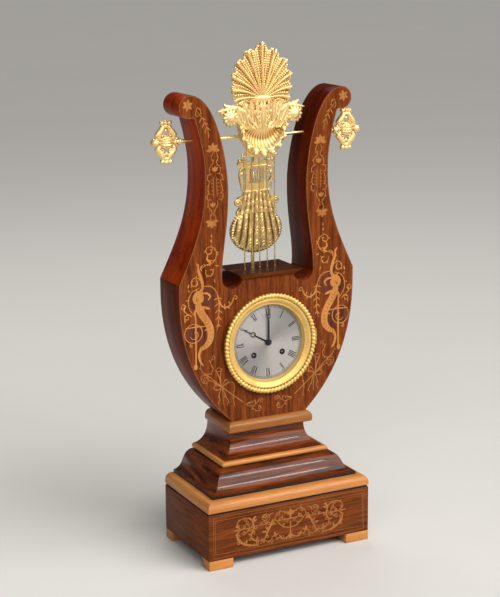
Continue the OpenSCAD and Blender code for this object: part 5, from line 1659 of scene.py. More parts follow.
@dataclass
class Acanthus:
    """A cast acanthus leaf that repeats over the gilt mounts."""

    length: float
    width: float
    lobes: int = 5
    cut: float = 0.34
    crown: float = 2.6
    vein: float = 0.7
    hook: float = 3

    def point(self, s: float, t: float) -> Triple:
        """A point of the leaf from its foot upwards: across, towards the viewer, and along.

        Args:
            s: Share across the leaf.
            t: Share of its length.

        Returns:
            The point in mm.
        """
        u = 2 * s - 1
        swell = sin(pi * min(1, 0.16 + 0.84 * t)) ** 0.75
        lobe = abs(sin(pi * (self.lobes * t + 0.16)))
        half = self.width / 2 * (0.10 + 0.90 * swell) * (1 - self.cut * (1 - lobe) * abs(u) ** 1.5)
        rise = self.length * t + 0.22 * half * abs(u) * lobe
        fold = self.vein * cos(2 * pi * (1.9 * abs(u) - 0.5 * t)) * (1 - 0.5 * t)
        spine = 0.9 * swelling(u, 0, 0.14) * (1 - t)
        crown = self.crown * (1 - 0.75 * u * u) * sin(pi * (0.12 + 0.8 * t))
        return u * half, crown + fold + spine + self.hook * t**3, rise

    def make(self, name: str, foot: Sequence[float], turn: float, thick: float = 1.1) -> Obj:
        """One leaf on a mount.

        Args:
            name: Name of the piece.
            foot: Where its foot sits, in mm.
            turn: Lean from upright to the right, degrees.
            thick: Thickness in mm.

        Returns:
            The new object.
        """
        c, k = cos(radians(turn)), sin(radians(turn))

        def place(s: float, t: float) -> Triple:
            """Where a point of the leaf lies on the mount."""
            x, y, z = self.point(s, t)
            return foot[0] + x * c + z * k, foot[1] - y, foot[2] - x * k + z * c

        return thicken(tidy(relief(name, 20, 8 * self.lobes, place)), thick)


@dataclass
class Crest:
    """The gilt crest: ribbed shell, leaf body, side rosettes and beaded apron."""

    seam: float = 512
    waist: float = 487
    low: float = 450
    waist_half: float = 24
    apron_half: float = 29.5
    ribs: int = 11
    lobes: int = 9
    back: float = 9
    relief_depth: float = 12
    rosette: Point = (39.8, 498)
    hub: Point = (516, 5)
    tips: tuple[Point, ...] = (
        (0, 63.9), (18, 57.0), (36, 52.8), (54, 46.0), (72, 39.2), (90, 35.2), (99, 33.5),
    )

    def reach(self, turn: float) -> float:
        """Length of the shell from its hub, at a turn in degrees from upright."""
        turn = min(abs(turn), self.tips[-1][0])
        for (a, near), (b, far) in zip(self.tips, self.tips[1:]):
            if turn <= b:
                return near + (far - near) * (turn - a) / (b - a)
        return self.tips[-1][1]

    @staticmethod
    def rod(share: float, count: int, width: float) -> tuple[float, float]:
        """Height of round ribs across a fan, and the distance from the nearest rib, 1 in mid groove."""
        off = abs((share * count) % 1 - 0.5) * 2
        return sqrt(max(0, 1 - (off / width) ** 2)), off

    def fan_point(self, s: float, t: float) -> Triple:
        """A point of the upper shell: round ribs that bend out to knobbed tips, with beads between.

        Args:
            s: Share across the fan.
            t: Share of the way to its tips.

        Returns:
            The point in mm.
        """
        half_turn = self.tips[-1][0]
        turn = half_turn * (2 * s - 1)
        knob = swelling(t, 0.94, 0.055)
        hub_z, hub_r = self.hub
        full = self.reach(turn)
        pitch = radians(half_turn / self.ribs) * (hub_r + (full - hub_r) * t)
        width = min(0.92, (1.2 + 1 * t + 0.7 * knob) / pitch)
        rod, off = self.rod(s, self.ribs, width)
        far = full * (1 - 0.11 * off**2 * t)
        a, b, c = (radians(turn * k) for k in (0.86, 0.8, 1))
        foot = (hub_r * sin(a), hub_r * cos(a))
        mid = 0.5 * (far - hub_r)
        bend = (foot[0] + mid * sin(b), foot[1] + mid * cos(b))
        tip = (far * sin(c), far * cos(c))
        x, z = ((1 - t) ** 2 * p + 2 * t * (1 - t) * q + t * t * r for p, q, r in zip(foot, bend, tip))
        row = hub_r + (far - hub_r) * t
        across = 0.5 + 0.5 * cos(2 * pi * (1 - off) * pitch / 2.9)
        beads = abs(sin(pi * row / 2.6)) * across
        beads *= min(1, 2.5 * t) if off > width else 0
        crown = 0.5 - 0.24 * t**1.3 - 0.04 * (2 * s - 1) ** 2
        ribs = 0.25 * rod * min(1, 0.2 + 2.2 * t) + 0.1 * knob * rod
        depth = self.relief_depth * min(1, crown + ribs + 0.08 * beads)
        return x, self.back - depth, hub_z + z

    def apron_point(self, s: float, t: float) -> Triple:
        """A point of the lower shell: a finely fluted dish that rolls out to a lobed rim.

        Args:
            s: Share across the fan.
            t: Share of the way to its rim.

        Returns:
            The point in mm.
        """
        turn = radians(100) * (2 * s - 1)
        rod, off = self.rod(s, self.lobes, 0.95)
        reach = 1 - 0.03 * off**2 * t
        x = (2 * s - 1) * (self.waist_half - 4) * (1 - t) + self.apron_half * sin(turn) * reach * t
        z = -(self.waist - self.low - 2) * cos(turn) * reach * t
        dish = 0.52 - 0.34 * swelling(t, 0.42, 0.22) + 0.26 * swelling(t, 0.82, 0.12)
        flute = 0.055 * cos(2 * pi * 20 * s) * swelling(t, 0.3, 0.4)
        lobe = 0.10 * (rod - 0.5) * min(1, max(0, (t - 0.6) / 0.2))
        return x, self.back - self.relief_depth * (dish + flute + lobe), self.waist + z

    def leaf_point(self, s: float, t: float) -> Triple:
        """A point of the leaf body: waving strands that rise from the waist and sink under the shell.

        Args:
            s: Share across.
            t: Share along.

        Returns:
            The point in mm.
        """
        u = 2 * s - 1
        half = self.waist_half + 2.5 * min(1, 2 * t) + 6 * max(0, (t - 0.55) / 0.45) ** 1.6
        slow = 0.16 * sin(2 * pi * (1.25 * t + 0.7 * abs(u)))
        quick = 0.07 * sin(2 * pi * (2.9 * t - 1.7 * abs(u)))
        flow = abs(u) ** 0.92 * (1.15 - 0.3 * t) + 0.6 * (slow + quick) * min(1, 4 * abs(u))
        strand = cos(2 * pi * (4.3 * flow - 0.5 * t))
        hair = cos(2 * pi * (9.4 * flow + 0.9 * t))
        depth = 0.26 + 0.26 * sqrt(1 - 0.9 * u * u) + 0.13 * strand + 0.045 * hair
        depth = depth * (1 - 0.45 * max(0, (t - 0.72) / 0.28) ** 1.5)
        z = self.waist - 3 + (self.seam + 8 - self.waist + 3) * t
        return half * u, self.back - self.relief_depth * depth, z

    def build(self, finish: Palette) -> None:
        """Makes and dresses the crest."""
        shell = thicken(tidy(relief("crest_fan", self.ribs * 28, 90, self.fan_point)), 2.4)
        cast = {"crest_shell": mark_painted_shade(shell, 40, 0.7), "crest_leaf": self.body()}
        cast |= {"crest_apron": self.apron(), "crest_scrolls": self.side_arms()}
        for node, piece in cast.items():
            dress(piece, finish.gilt, "gilt_bronze", [node], 60)

    def body(self) -> Obj:
        """The leaf body: a stranded block with curling leaves."""
        parts = [relief("leaf_block", 150, 64, self.leaf_point, self.back)]
        front, foot = self.back - 5.4, self.waist - 3
        parts.append(bead("roll", (0, self.back - 3.4, self.hub[0] + 1), (15.5, 3.7, 6), 20))
        middle = Acanthus(26, 13, 5, hook=2.4, crown=1.6, vein=0.55)
        parts.append(middle.make("leaf", (0, front - 0.6, foot), 0, 1.2))
        fan = ((6, 2, 29, 9), (11, 8, 32, 10), (16, 16, 31, 10), (20, 25, 28, 10), (22, 36, 22, 9))
        for side in (-1, 1):
            for x, turn, long, wide in fan:
                leaf = Acanthus(long, wide, 4, hook=2.6, crown=1.5, vein=0.5)
                parts.append(leaf.make("leaf", (side * x, front + 0.05 * x, foot), side * turn, 1.2))
        return mark_painted_shade(fuse(join(parts, "crest_leaves"), 0.36, 3), 60, 1.2)

    def apron(self) -> Obj:
        """The lower shell with pearls along its rim and curled upper corners."""
        parts = [relief("apron_fan", self.lobes * 16, 48, self.apron_point, self.back)]
        pearls = [((k + 0.5) / self.lobes, 0.92, 3.2) for k in range(self.lobes)]
        pearls += [(k / self.lobes, 0.78, 2.3) for k in range(1, self.lobes)]
        for s, t, size in pearls:
            x, y, z = self.apron_point(s, t)
            size *= 1 - 0.25 * abs(2 * s - 1)
            parts.append(bead("pearl", (x, y - 0.4, max(z, self.low + size)), (size, size * 0.9, size), 12))
        for side in (-1, 1):
            parts.append(bead("corner", (side * 26.5, self.back - 6.5, 483), (3.4, 3.2, 3.6), 10))
        return mark_painted_shade(fuse(join(parts, "crest_apron_cast"), 0.36, 2), 220, 1.3)

    def side_arms(self) -> Obj:
        """Leafy arms with a spiked rosette on each side."""
        cx, cz = self.rosette
        y, rise = self.back - 2.8, self.back - 6.2
        parts = [bead("hub", (cx, rise - 0.8, cz), (5.2, 3.4, 5.2), 12)]
        parts.append(ring("hub_ring", (cx, rise - 1.4, cz), 4.8, 0.9, Axis.Y, (40, 8)))
        petals = 12
        for k in range(petals):
            c, n = cos(2 * pi * k / petals), sin(2 * pi * k / petals)
            path = [(cx + d * n, rise + 0.08 * d, cz + d * c) for d in (3.6, 6.2, 8.4, 10.4)]
            parts.append(tube("petal", path, (1.8, 2.3, 1.9, 0.4), 6))
        stem = [(38, y, 506), (39.4, y - 1.4, 502.5), (cx, rise + 1, cz)]
        parts.append(tube("stem", stem, [2.6, 2.4, 2.4], 5))
        for spots, radii in (
            (((22, 503), (29, 506.5), (36, 508), (45, 506.5), (54.3, 505)), (4.6, 4.2, 3.8, 2.9, 0.6)),
            (((36, 507.5), (41, 509.5), (44.5, 511), (46.8, 513.6)), (3.4, 3, 2.2, 0.5)),
            (((45.5, 505.5), (49, 503.5), (51, 500.8)), (2.4, 1.9, 0.5)),
        ):
            path = through(spots, 6)
            at = np.linspace(0, len(radii) - 1, len(path))
            sizes = np.interp(at, range(len(radii)), radii)
            parts.append(tube("spray", [(x, y, z) for x, z in path], sizes, 5))
        right = mark_painted_shade(fuse(join(parts, "crest_side_arms"), 0.36, 2))
        left = mirrored_copy(right, "left_arm_spray")
        return join([right, left], "crest_side_arms")


@dataclass
class Finials:
    """The pierced gilt finials at the ends of the cross rod."""

    x: float = 113
    y: float = 14.8
    z: float = 474.9
    half: float = 24.5
    rod_r: float = 1.9
    rod_half: float = 104

    def casting(self) -> Obj:
        """The right finial as one skin."""
        parts = []
        x, y, z = self.x, self.y, self.z
        line = ((2.6, 18.5), (5.2, 13.6), (9.2, 8), (7, 2.5))
        pairs = (
            (11, 8.2, (2.4, 2.6, 2.4)), (7.8, 12.8, (2, 2.3, 2)),
            (4.6, 21, (2.9, 3, 2.9)), (12.2, 3.6, (1.9, 2.2, 2.2)),
        )
        stack = ((21.4, (3.2, 3.2, 3.1)), (17.8, (4.8, 3, 2.8)), (12.6, (1.8, 2, 2.6)))
        for s in (-1, 1):
            for k in (-1, 1):
                path = through([(x + k * dx, z + s * dz) for dx, dz in line], 7)
                radii = [2.6 + 1.1 * sin(pi * i / (len(path) - 1)) for i in range(len(path))]
                parts.append(tube("scroll", [(px, y, pz) for px, pz in path], radii, 5))
                parts += [bead("bud", (x + k * dx, y, z + s * dz), size, 8) for dx, dz, size in pairs]
                parts.append(ring("curl", (x + k * 5.4, y - 1.2, z + s * 9), 1.9, 1, Axis.Y, (20, 8)))
            parts += [bead("drop", (x, y, z + s * dz), size, 8) for dz, size in stack]
        boss = bead("boss", (x, y, z), (8.8, 6, 7.2), 48)
        for v in boss.data.vertices:
            dy, dz = v.co.y - y * MM, v.co.z - z * MM
            swell = 0.92 + 0.2 * abs(cos(6 * atan2(dz, dy)))
            v.co.y, v.co.z = y * MM + dy * swell, z * MM + dz * swell
        parts.append(boss)
        neck = [
            (0, -17), (4.3, -17), (4.3, -15.6), (2.9, -14.6), (2.9, -12), (3.8, -11.2), (3.8, -9.8),
            (2.8, -9), (2.8, -5), (0, -5),
        ]
        knob = [
            (0, 5), (3.2, 6), (3, 9), (4.4, 10.2), (5, 12.6), (4.6, 15.2), (3, 17), (1.2, 17.68),
            (0, 17.68),
        ]
        for name, profile in (("neck", neck), ("knob", knob)):
            parts.append(turned(name, profile, (x, y, z), Axis.X, 40))
        return mark_painted_shade(fuse(join(parts, "finial_right"), 0.34, 3))

    def build(self, finish: Palette) -> None:
        """Makes and dresses both finials and the rod.

        Args:
            finish: The finishes.
        """
        right = self.casting()
        left = mirrored_copy(right, "finial_left")
        dress(right, finish.gilt, "gilt_bronze", ["right_finial"], 60)
        dress(left, finish.gilt, "gilt_bronze", ["left_finial"], 60)
        r, end = self.rod_r, self.rod_half
        profile = [(0, -end), *((r, end * (k / 4 - 1)) for k in range(9)), (0, end)]
        rod = turned("cross_rod_bar", profile, (0, self.y, self.z), Axis.X, 32)
        dress(rod, finish.burnished, "gilt_bronze", ["cross_rod"])


@dataclass
class Strings:
    """Five brass strings with a ferrule where each meets the shelf."""

    count: int = 5
    pitch: float = 9.6
    y: float = 13
    low: float = 324.5
    high: float = 452
    r: float = 0.7

    def build(self, finish: Palette) -> None:
        """Makes and dresses the strings.

        Args:
            finish: The finishes.
        """
        r, tall = self.r, self.high - self.low
        profile = [(0, 0), (1.1, 0), (1.1, 0.5), (r, 0.9), (r, tall), (0, tall)]
        first = turned("string", profile, (0, 0, 0), Axis.Z, 20)
        parts = []
        for i in range(self.count):
            part = copy_of(first, "string")
            part.location = Vector(((i - (self.count - 1) / 2) * self.pitch, self.y, self.low)) * MM
            parts.append(settle(part))
        bpy.data.objects.remove(first)
        dress(join(parts, "string_set"), finish.wire, "brass", ["strings"])


@dataclass
class Pendulum:
    """The gilt pendulum: frame, grid rods, leaf collar and fluted bob."""

    bob: tuple[float, float] = (0.0, 366.5)
    half: Point = (33.5, 26.5)
    back: float = 23.5
    depth: float = 6
    front: float = 20.4
    apex: float = 470
    fan: float = 19
    flutes: int = 9
    scallops: int = 52

    def flute(self, x: float, z: float) -> float:
        """Flutes that fan down from the apex: 1 on a crest, 0 in a groove, roughened along their length.

        Args:
            x: Distance from the middle in mm.
            z: Height in mm.

        Returns:
            The share of a crest.
        """
        lean = atan2(x, self.apex - z)
        share = lean / (2 * radians(self.fan)) + 0.5
        crest = rib(share, self.flutes)
        off = abs((share * self.flutes) % 1 - 0.5) * 2
        shift = 0.37 * (share * self.flutes // 1) + 0.3 * sin(0.41 * z + 5 * lean)
        row = z / 5.3 + off + shift
        return crest**0.8 * (0.66 + 0.34 * abs(sin(pi * row)) ** 0.7)

    def bob_point(self, s: float, t: float) -> Triple:
        """A point of the bob: flutes run down to a finely scalloped rim.

        Args:
            s: Share of a turn.
            t: Share of the way to the rim.

        Returns:
            The point in mm.
        """
        a = 2 * pi * s
        lobe = 1 - 0.04 * (1 - rib(s, self.scallops)) * t**4
        x, z = self.half[0] * t * lobe * cos(a), self.half[1] * t * lobe * sin(a)
        rim = swelling(t, 0.93, 0.05)
        dome = sqrt(max(0, 1 - 0.8 * t * t))
        flute = 3 * self.flute(x, self.bob[1] + z) * (1 - t**8)
        out = 0.7 + (self.depth - 3.9) * dome + flute + 0.8 * rim * rib(s, self.scallops)
        return x, self.back - min(out, self.depth), self.bob[1] + z

    def collar_point(self, s: float, t: float) -> Triple:
        """A point of the leafy collar, which narrows from the bob up to the frame.

        Args:
            s: Share across.
            t: Share along.

        Returns:
            The point in mm.
        """
        u = 2 * s - 1
        half = 26 - 10.5 * t**0.7 + 1.3 * abs(sin(3.5 * pi * t))
        z = 386 + 26 * t
        x = half * u
        ripple = 0.6 * abs(sin(3 * pi * t + 2 * abs(u)))
        out = 1 + 2.2 * sqrt(1 - 0.8 * u * u) + 2.2 * self.flute(x, z) + ripple
        return x, self.back - min(out, self.depth - 0.2), z

    def build(self, finish: Palette, frame: dict) -> None:
        """Makes and dresses the pendulum.

        Args:
            finish: The finishes.
        """
        disc = relief("bob_cast", 240, 44, self.bob_point, self.back)
        dress(mark_painted_shade(disc, 40, 0.9), finish.dull, "gilt_bronze", ["pendulum_bob"], 60, Body.PENDULUM)
        plate = cad_copy("pendulum_frame", "pendulum_plate", 0, frame)
        dress(plate, finish.burnished, "gilt_bronze", ["pendulum_frame"], body=Body.PENDULUM)
        dress(self.ornament(), finish.dull, "gilt_bronze", (), 60, Body.PENDULUM)
        rods = cad_copy("gridiron_rods", "grid_rods", 0, frame)
        dress(rods, finish.wire, "steel", ["gridiron_rods"], body=Body.PENDULUM)

    def ornament(self) -> Obj:
        """Collar, volutes, handles and knobs on the frame's front."""
        y = self.front + 0.3
        parts = [relief("collar", 110, 40, self.collar_point, self.back - 0.4)]
        line = ((11.5, 438.5), (17, 438.5), (20.3, 434.5), (20.6, 427), (19, 419), (17.5, 413), (12, 410.5))
        loop = through(line, 6)
        for side in (-1, 1):
            parts.append(ring("volute", (side * 24, y - 0.4, 399.5), 3, 1.4, Axis.Y, (28, 8)))
            parts.append(bead("volute_eye", (side * 24, y - 0.6, 399.5), (2.2, 1.8, 2.2), 8))
            parts.append(tube("handle", [(side * x, y + 0.4, z) for x, z in loop], [1.25] * len(loop), 4))
            parts.append(bead("handle_bead", (side * 18.2, y + 0.2, 431.5), (1.9, 1.8, 2.6), 8))
            parts.append(bead("knob", (side * 20, y + 0.6, 446.5), (2.8, 2.6, 2.8), 10))
            neck = [(side * 11, y + 0.6, 446), (side * 20, y + 0.6, 446.5)]
            parts.append(tube("knob_neck", neck, [2.2, 1.4], 4))
            near, far = sorted((side * 8.6, side * 13.8))
            panel = [(near, 408), (far, 408), (far, 441), (near, 441)]
            parts.append(ease_edges(slab("panel", [panel], y - 1.2, y + 1.2), 0.5))
        parts.append(tube("rail", [(-12, y + 0.2, 440), (12, y + 0.2, 440)], [1.7, 1.7], 4))
        return mark_painted_shade(fuse(join(parts, "pendulum_ornament"), 0.34, 2))


# Dial and bezel


@dataclass
class Dial:
    """Silvered dial with Roman hours, blued hands, gilt bezel and glass."""

    z: float = 240.5
    front: float = -5.9
    bezel_back: float = -9.6
    bezel_front: float = -15.6
    outer: float = 59
    sight: float = 44
    gadroons: int = 78
    wind: Point = (18.3, -13.5)
    numeral_r: Point = (31.2, 39.8)
    track: Point = (41, 42.5)
    ink: float = 0.035
    pin_y: float = -9
    minute_front: float = -8.2
    hour_front: float = -7
    hand_t: float = 0.45

    def bar(self, a: Point, b: Point, width: float) -> list[Triple]:
        """Corners of one painted stroke, lying just in front of the dial.

        Args:
            a: Where it starts.
            b: Where it ends.
            width: Its width in mm.

        Returns:
            The corners in mm.
        """
        dx, dz = b[0] - a[0], b[1] - a[1]
        size = hypot(dx, dz)
        nx, nz = -dz / size * width / 2, dx / size * width / 2
        y = self.front - self.ink
        corners = ((a, 1), (b, 1), (b, -1), (a, -1))
        return [(p[0] + k * nx, y, self.z + p[1] + k * nz) for p, k in corners]

    def numeral(self, text: str, hour: int) -> list[list[Triple]]:
        """Strokes of one Roman hour, its foot to the middle.

        Args:
            text: The numeral in I, V and X.
            hour: Its hour.

        Returns:
            Corners of each stroke.
        """
        low, high = self.numeral_r
        advance = {"I": 1.75, "V": 3.3, "X": 3.3}
        total = sum(advance[c] for c in text)
        turn = radians(90 - 30 * hour)
        out = (cos(turn), sin(turn))
        right = (out[1], -out[0])
        strokes: list[tuple[Point, Point, float]] = []
        left = -total / 2
        for c in text:
            w = advance[c]
            mid, a, b = left + w / 2, left + 0.42, left + w - 0.42
            if c == "I":
                strokes.append(((mid, low), (mid, high), 0.95))
            elif c == "V":
                strokes += [((mid, low), (a, high), 1), ((mid, low), (b, high), 0.38)]
            else:
                strokes += [((b, low), (a, high), 1), ((a, low), (b, high), 0.38)]
            left += w
        for r in (low, high):
            strokes.append(((-total / 2, r), (total / 2, r), 0.28))

        def placed(p: Point) -> Point:
            """A point of the upright numeral, turned to its hour."""
            return p[0] * right[0] + p[1] * out[0], p[0] * right[1] + p[1] * out[1]

        return [self.bar(placed(p), placed(q), w) for p, q, w in strokes]

    def painted(self) -> Obj:
        """All painted lines of the dial: hours, minute ring and its marks."""
        quads = []
        hours = ("XII", "I", "II", "III", "IIII", "V", "VI", "VII", "VIII", "IX", "X", "XI")
        for hour, text in enumerate(hours):
            quads += self.numeral(text, hour)
        for k in range(60):
            a = radians(6 * k)
            near, far = ((r * cos(a), r * sin(a)) for r in self.track)
            quads.append(self.bar(near, far, 0.22 if k % 5 else 0.55))
        for r in self.track:
            ring_line = arc((0, 0), r, 0, 360, 144)
            quads += [self.bar(p, q, 0.32) for p, q in zip(ring_line, ring_line[1:])]
        verts = [v for quad in quads for v in quad]
        faces = [(i + 3, i + 2, i + 1, i) for i in range(0, len(verts), 4)]
        return draw_back(sheet("dial_painting", verts, faces), 2 * self.ink)

    @staticmethod
    def tapered(wide: float, low: float, narrow: float, high: float) -> list[Point]:
        """Corners of an upright bar from its lower width and height to its upper ones."""
        return [(-wide / 2, low), (wide / 2, low), (narrow / 2, high), (-narrow / 2, high)]

    def hand(self, name: str, long: float, moon: Point, bar: Point, front: float, turn: float) -> Obj:
        """One hand: boss, tapering bar, pierced moon and slim tip.

        Args:
            name: Name of the hand.
            long: Length from the middle.
            moon: Place and radius of the moon.
            bar: Width of the bar at the boss and at the moon.
            front: Y of the front face.
            turn: Turn from upright, in degrees to the left.

        Returns:
            The hand.
        """
        at, r = moon
        boss, eye, lap, foot = 3.7, 1.25, 0.4, 1.4
        runs = [
            [circle((0, 0), boss, 40), circle((0, 0), eye, 24)],
            [self.tapered(bar[0], boss - lap, bar[1], at - r + lap)],
            [circle((0, at), r, 40), circle((0, at + 0.25), r - 0.95, 32)],
            [self.tapered(foot, at + r - lap, 0.7, long)],
        ]
        c, n = cos(radians(turn)), sin(radians(turn))
        parts = []
        for loops in runs:
            placed = [[(x * c - z * n, self.z + x * n + z * c) for x, z in loop] for loop in loops]
            parts.append(ease_edges(slab("hand_piece", placed, front, front + self.hand_t), 0.12))
        return join(parts, name)

    def rope(self) -> Obj:
        """The bezel's outer rope edge."""
        major, minor = self.outer - 3.3, 3.2
        obj = ring("bezel_rope", (0, 0, 0), major, minor, Axis.Y, (self.gadroons * 10, 14))
        for v in obj.data.vertices:
            r = hypot(v.co.x, v.co.z) / MM
            a = atan2(v.co.z, v.co.x)
            tilt = atan2(v.co.y / MM, r - major)
            lobe = abs(sin((self.gadroons * a + 0.9 * tilt) / 2))
            swell = minor * (0.18 + 0.84 * lobe**0.75)
            rr = major + swell * cos(tilt)
            v.co = Vector((rr * cos(a), swell * sin(tilt) * 0.84, rr * sin(a))) * MM
        obj.data.transform(Matrix.Translation(Vector((0, self.bezel_back - 3.3, self.z)) * MM))
        return obj

    def bezel(self, frame: dict) -> Obj:
        """The bezel: rope edge, fillets and a hollow slope down to the sight.


        Returns:
            The new object.
        """
        b, f, s = self.bezel_back, self.bezel_front, self.sight
        shares = [k / 40 for k in range(41)]
        drop = [2.8 * sin(pi / 2 * t) ** 1.2 - 0.08 * cos(8 * pi * t) for t in shares]
        rebate = (s + 2.05, b)
        profile = [
            rebate, (s + 2.05, b - 0.6), (s + 1.4, b - 0.6), (s + 1.4, f + 5.2), (s + 2, f + 5),
            *((s + 2.4 + 5.3 * t, f + 5.2 - low) for t, low in zip(shares, drop)),
            (52, f + 2.3), (52.5, f + 2.8), (52.9, f + 4.2), (55.4, f + 4.6), (55.8, b), rebate,
        ]
        ring_part = turned("bezel_slope", profile, (0, 0, self.z), Axis.Y, 192)
        knuckle = self.knuckle(frame)
        rim = (s + 1.6, b)
        edge = [rim, (s + 1.6, b + 0.4), (s - 0.4, -6.3), (s - 0.6, -6.6), (s + 1, b), rim]
        lip = turned("sight_ring", edge, (0, 0, self.z), Axis.Y, 128)
        return join([ring_part, lip, mark_painted_shade(self.rope(), 20, 0.95), knuckle], "bezel_cast")

    def knuckle(self, frame: dict) -> Obj:
        """The moving hinge knuckle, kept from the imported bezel."""
        obj = cad_copy("bezel", "bezel_knuckle", 0, frame)
        half = 5.2
        trim(obj, (self.outer - 1.5, 0, 0), (1, 0, 0))
        trim(obj, (0, 0, self.z - half), (0, 0, 1))
        trim(obj, (0, 0, self.z + half), (0, 0, -1))
        return obj

    def lens(self) -> Obj:
        """The glass: a thin shallow dome in the bezel's rebate."""
        edge = self.sight + 2
        rise, thick = 1.9, 1.2
        dome = [(edge * sin(t), rise * (cos(t) - 1)) for t in (pi / 2 * k / 16 for k in range(17))]
        b = self.bezel_back
        front = [(r, b - thick - rise - y) for r, y in dome]
        rear = [(r, b - rise - y) for r, y in reversed(dome)]
        return turned("dial_glass", [*front, *rear], (0, 0, self.z), Axis.Y, 128)

    def build(self, finish: Palette, frame: dict) -> None:
        """Makes and dresses the dial, hands and bezel.

        Args:
            finish: The finishes.
        """
        dress(cad_copy("dial", "dial_plate", 0, frame), finish.silver, "silvered_metal", ["dial"])
        dress(self.painted(), finish.ink, "blued_steel")
        sleeve = [
            (0.9, 0.3), (0.9, 0.1), (2.6, -0.1), (3.1, -0.25), (3.5, -0.15), (3.5, 0.02), (2.9, 0.02),
            (2.9, 0.3), (0.9, 0.3),
        ]
        for name, side in (("winding_eye_left", -1), ("winding_eye_right", 1)):
            eye = (side * self.wind[0], self.front, self.z + self.wind[1])
            dress(turned(name, sleeve, eye, Axis.Y, 48), finish.ink, "blued_steel")
        minute = self.hand("hand_minute", 43, (30.6, 2.4), (2.4, 1.9), self.minute_front, 0)
        dress(minute, finish.blued, "blued_steel", ["minute_hand"], body=Body.MINUTE)
        hour = self.hand("hand_hour", 35, (22.2, 3.1), (1.9, 1.5), self.hour_front, 60)
        dress(hour, finish.blued, "blued_steel", ["hour_hand"], body=Body.HOUR)
        pin = bead("centre_pin", (0, self.pin_y, self.z), (1.1, 0.5, 1.1), 10)
        dress(pin, finish.blued, "steel", body=Body.MINUTE)
        dress(self.bezel(frame), finish.rim, "gilt_bronze", ["bezel"], 40, Body.BEZEL)
        dress(self.lens(), finish.glass, "glass", ["bezel_glass"], body=Body.BEZEL)


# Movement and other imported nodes


@dataclass
class Works:
    """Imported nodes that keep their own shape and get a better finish."""

    brass: tuple[str, ...] = (
        "suspension_cock", "bezel_seat", "bezel_hinge", "movement_ring", "front_plate", "back_plate",
        "pillars", "going_barrel", "strike_barrel", "intermediate_wheel", "centre_wheel", "third_wheel",
        "escape_wheel", "back_cock", "crutch", "minute_wheel", "hour_wheel", "pin_wheel", "fly", "bell",
        "back_door", "back_hinge",
    )
    steel: tuple[str, ...] = ("going_arbor", "strike_arbor", "anchor", "hammer")
    bracket_half: float = 17.5
    bar: Triple = (20.8, 13, 453.2)

    def hanger(self, frame: dict) -> Obj:
        """The bracket behind the crest, with a slim knobbed bar that holds the strings' upper ends.


        Returns:
            The new object.
        """
        obj = cad_copy("crest_bracket", "string_hanger", 0, frame)
        for side in (-1, 1):
            trim(obj, (side * self.bracket_half, 0, 0), (-side, 0, 0))
        half, y, z = self.bar
        parts = [obj, tube("bar", [(-half, y, z), (half, y, z)], [1.3, 1.3], 8)]
        parts += [bead("knob", (side * half, y, z), (1.9, 1.9, 1.9), 10) for side in (-1, 1)]
        return join(parts, "string_hanger")

    def build(self, finish: Palette, frame: dict) -> None:
        """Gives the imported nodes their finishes.

        Args:
            finish: The finishes.
        """
        dress(self.hanger(frame), finish.burnished, "brass", ["crest_bracket"])
        plan = {n: finish.brass for n in self.brass} | {n: finish.steel for n in self.steel}
        plan |= {"plinth_core": finish.pine, "arm_dowels": finish.dowel, "cannon_pinion": finish.blued}
        for name, mat in plan.items():
            node = frame["nodes"][name]
            node.data.materials.clear()
            node.data.materials.append(mat)
            LOG.info("%s finished", name)


# Studio


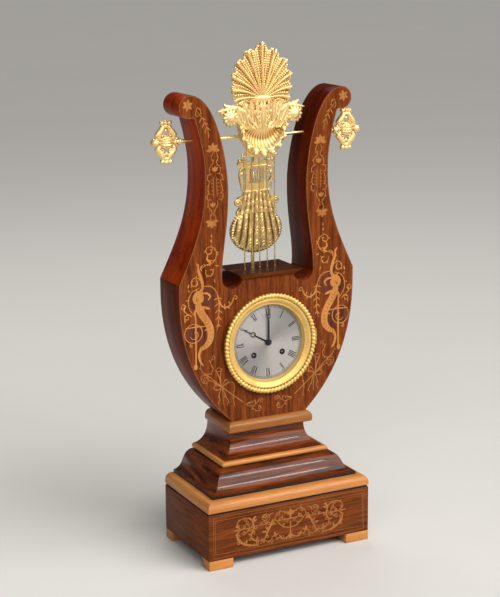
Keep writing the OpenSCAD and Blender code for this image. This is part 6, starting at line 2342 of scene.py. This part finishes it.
@dataclass
class Studio:
    """Floor, lights and the camera at the photograph's angle."""

    azimuth: float = -26.82
    pitch: float = 13.46
    roll: float = -0.49
    target: Triple = (-19.52, 0, 292.65)
    distance: float = 1789.31
    lens: float = 95.34
    floor: float = 90
    room: float = 0.16
    sun: float = 2.6
    sun_from: Triple = (0.5, -0.62, 0.62)

    def camera(self) -> None:
        """Places the camera."""
        az, pitch, roll = (radians(a) for a in (self.azimuth, self.pitch, self.roll))
        back = Vector((sin(az) * cos(pitch), -cos(az) * cos(pitch), sin(pitch)))
        right = Vector((cos(az), sin(az), 0.0))
        up = back.cross(right)
        c, s = cos(roll), sin(roll)
        right, up = c * right + s * up, c * up - s * right
        data = bpy.data.cameras.new("studio_camera")
        data.lens = self.lens
        data.sensor_width = 36.0
        data.clip_start, data.clip_end = 0.05, 200.0
        cam = link("studio_camera", data)
        place = Matrix((right, up, back)).transposed().to_4x4()
        place.translation = (Vector(self.target) + back * self.distance) * MM
        cam.matrix_world = place
        bpy.context.scene.camera = cam

    @staticmethod
    def light(name: str, at: Triple, aim: Triple, size: Point, power: float) -> None:
        """One soft box.

        Args:
            name: Name of the light.
            at: Its place in metres.
            aim: The point it faces, in metres.
            size: Width and height in metres.
            power: Power in watts.
        """
        data = bpy.data.lights.new(name, "AREA")
        data.shape = "RECTANGLE"
        data.size, data.size_y = size
        data.energy = power
        lamp = link(name, data)
        lamp.location = at
        lamp.rotation_mode = "QUATERNION"
        lamp.rotation_quaternion = (Vector(aim) - Vector(at)).to_track_quat("-Z", "Y")

    def build(self) -> None:
        """Sets up the floor, the lights and the camera."""
        deselect()
        bpy.ops.mesh.primitive_plane_add(size=self.floor)
        floor = named("studio_floor")
        g = Graph("pale_floor")
        cloud = g.noise(g.coords(), 3.0, 2.0)
        paint = g.ramp(cloud, [(0.3, (0.612, 0.592, 0.552)), (0.7, (0.622, 0.602, 0.562))])
        g.shade(Base_Color=paint, Roughness=0.8, Specular_IOR_Level=0.05)
        floor.data.materials.append(g.mat)
        world = bpy.data.worlds.new("soft_room")
        world.use_nodes = True
        room = world.node_tree.nodes["Background"]
        room.inputs[0].default_value = (0.5, 0.5, 0.52, 1.0)
        room.inputs[1].default_value = self.room
        wall = world.node_tree.nodes.new("ShaderNodeBackground")
        wall.inputs[0].default_value = (0.42, 0.41, 0.385, 1.0)
        seen = world.node_tree.nodes.new("ShaderNodeLightPath")
        mix = world.node_tree.nodes.new("ShaderNodeMixShader")
        wire = world.node_tree.links.new
        for a, b in zip((seen.outputs[0], room.outputs[0], wall.outputs[0]), mix.inputs):
            wire(a, b)
        wire(mix.outputs[0], world.node_tree.nodes["World Output"].inputs[0])
        bpy.context.scene.world = world
        sun = bpy.data.lights.new("window_light", "SUN")
        sun.energy = self.sun
        sun.angle = radians(62.0)
        lamp = link("window_light", sun)
        lamp.rotation_mode = "QUATERNION"
        lamp.rotation_quaternion = (-Vector(self.sun_from)).to_track_quat("-Z", "Y")
        aim = (0.0, 0.0, 0.3)
        self.light("bright_pane", (1.35, -1.95, 2.1), (1.35, 0.0, 0.12), (2.2, 0.3), 34.0)
        self.light("fill_box", (-1.3, -1.3, 1.2), aim, (0.8, 0.8), 9.0)
        self.light("front_box", (-0.3, -1.2, 1.05), (-0.08, 0.0, 0.44), (0.6, 0.6), 7.0)
        self.light("rear_box", (0.2, 1.1, 2.1), aim, (0.9, 0.7), 14.0)
        self.camera()
        view = bpy.context.scene.view_settings
        view.view_transform = "Standard"


def main() -> None:
    """Builds the clock's pieces in order."""
    logging.basicConfig(level=logging.INFO, format="%(name)s: %(message)s")
    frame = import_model()
    lyre = Lyre()
    finish = Palette(lyre.dial_z)
    Plinth().build(finish)
    lyre.build(finish, frame)
    Marquetry().build(finish, lyre)
    Crest().build(finish)
    Finials().build(finish)
    Strings().build(finish)
    Pendulum().build(finish, frame)
    Dial().build(finish, frame)
    Works().build(finish, frame)
    Studio().build()
    deselect()


if __name__ == "__main__":
    main()
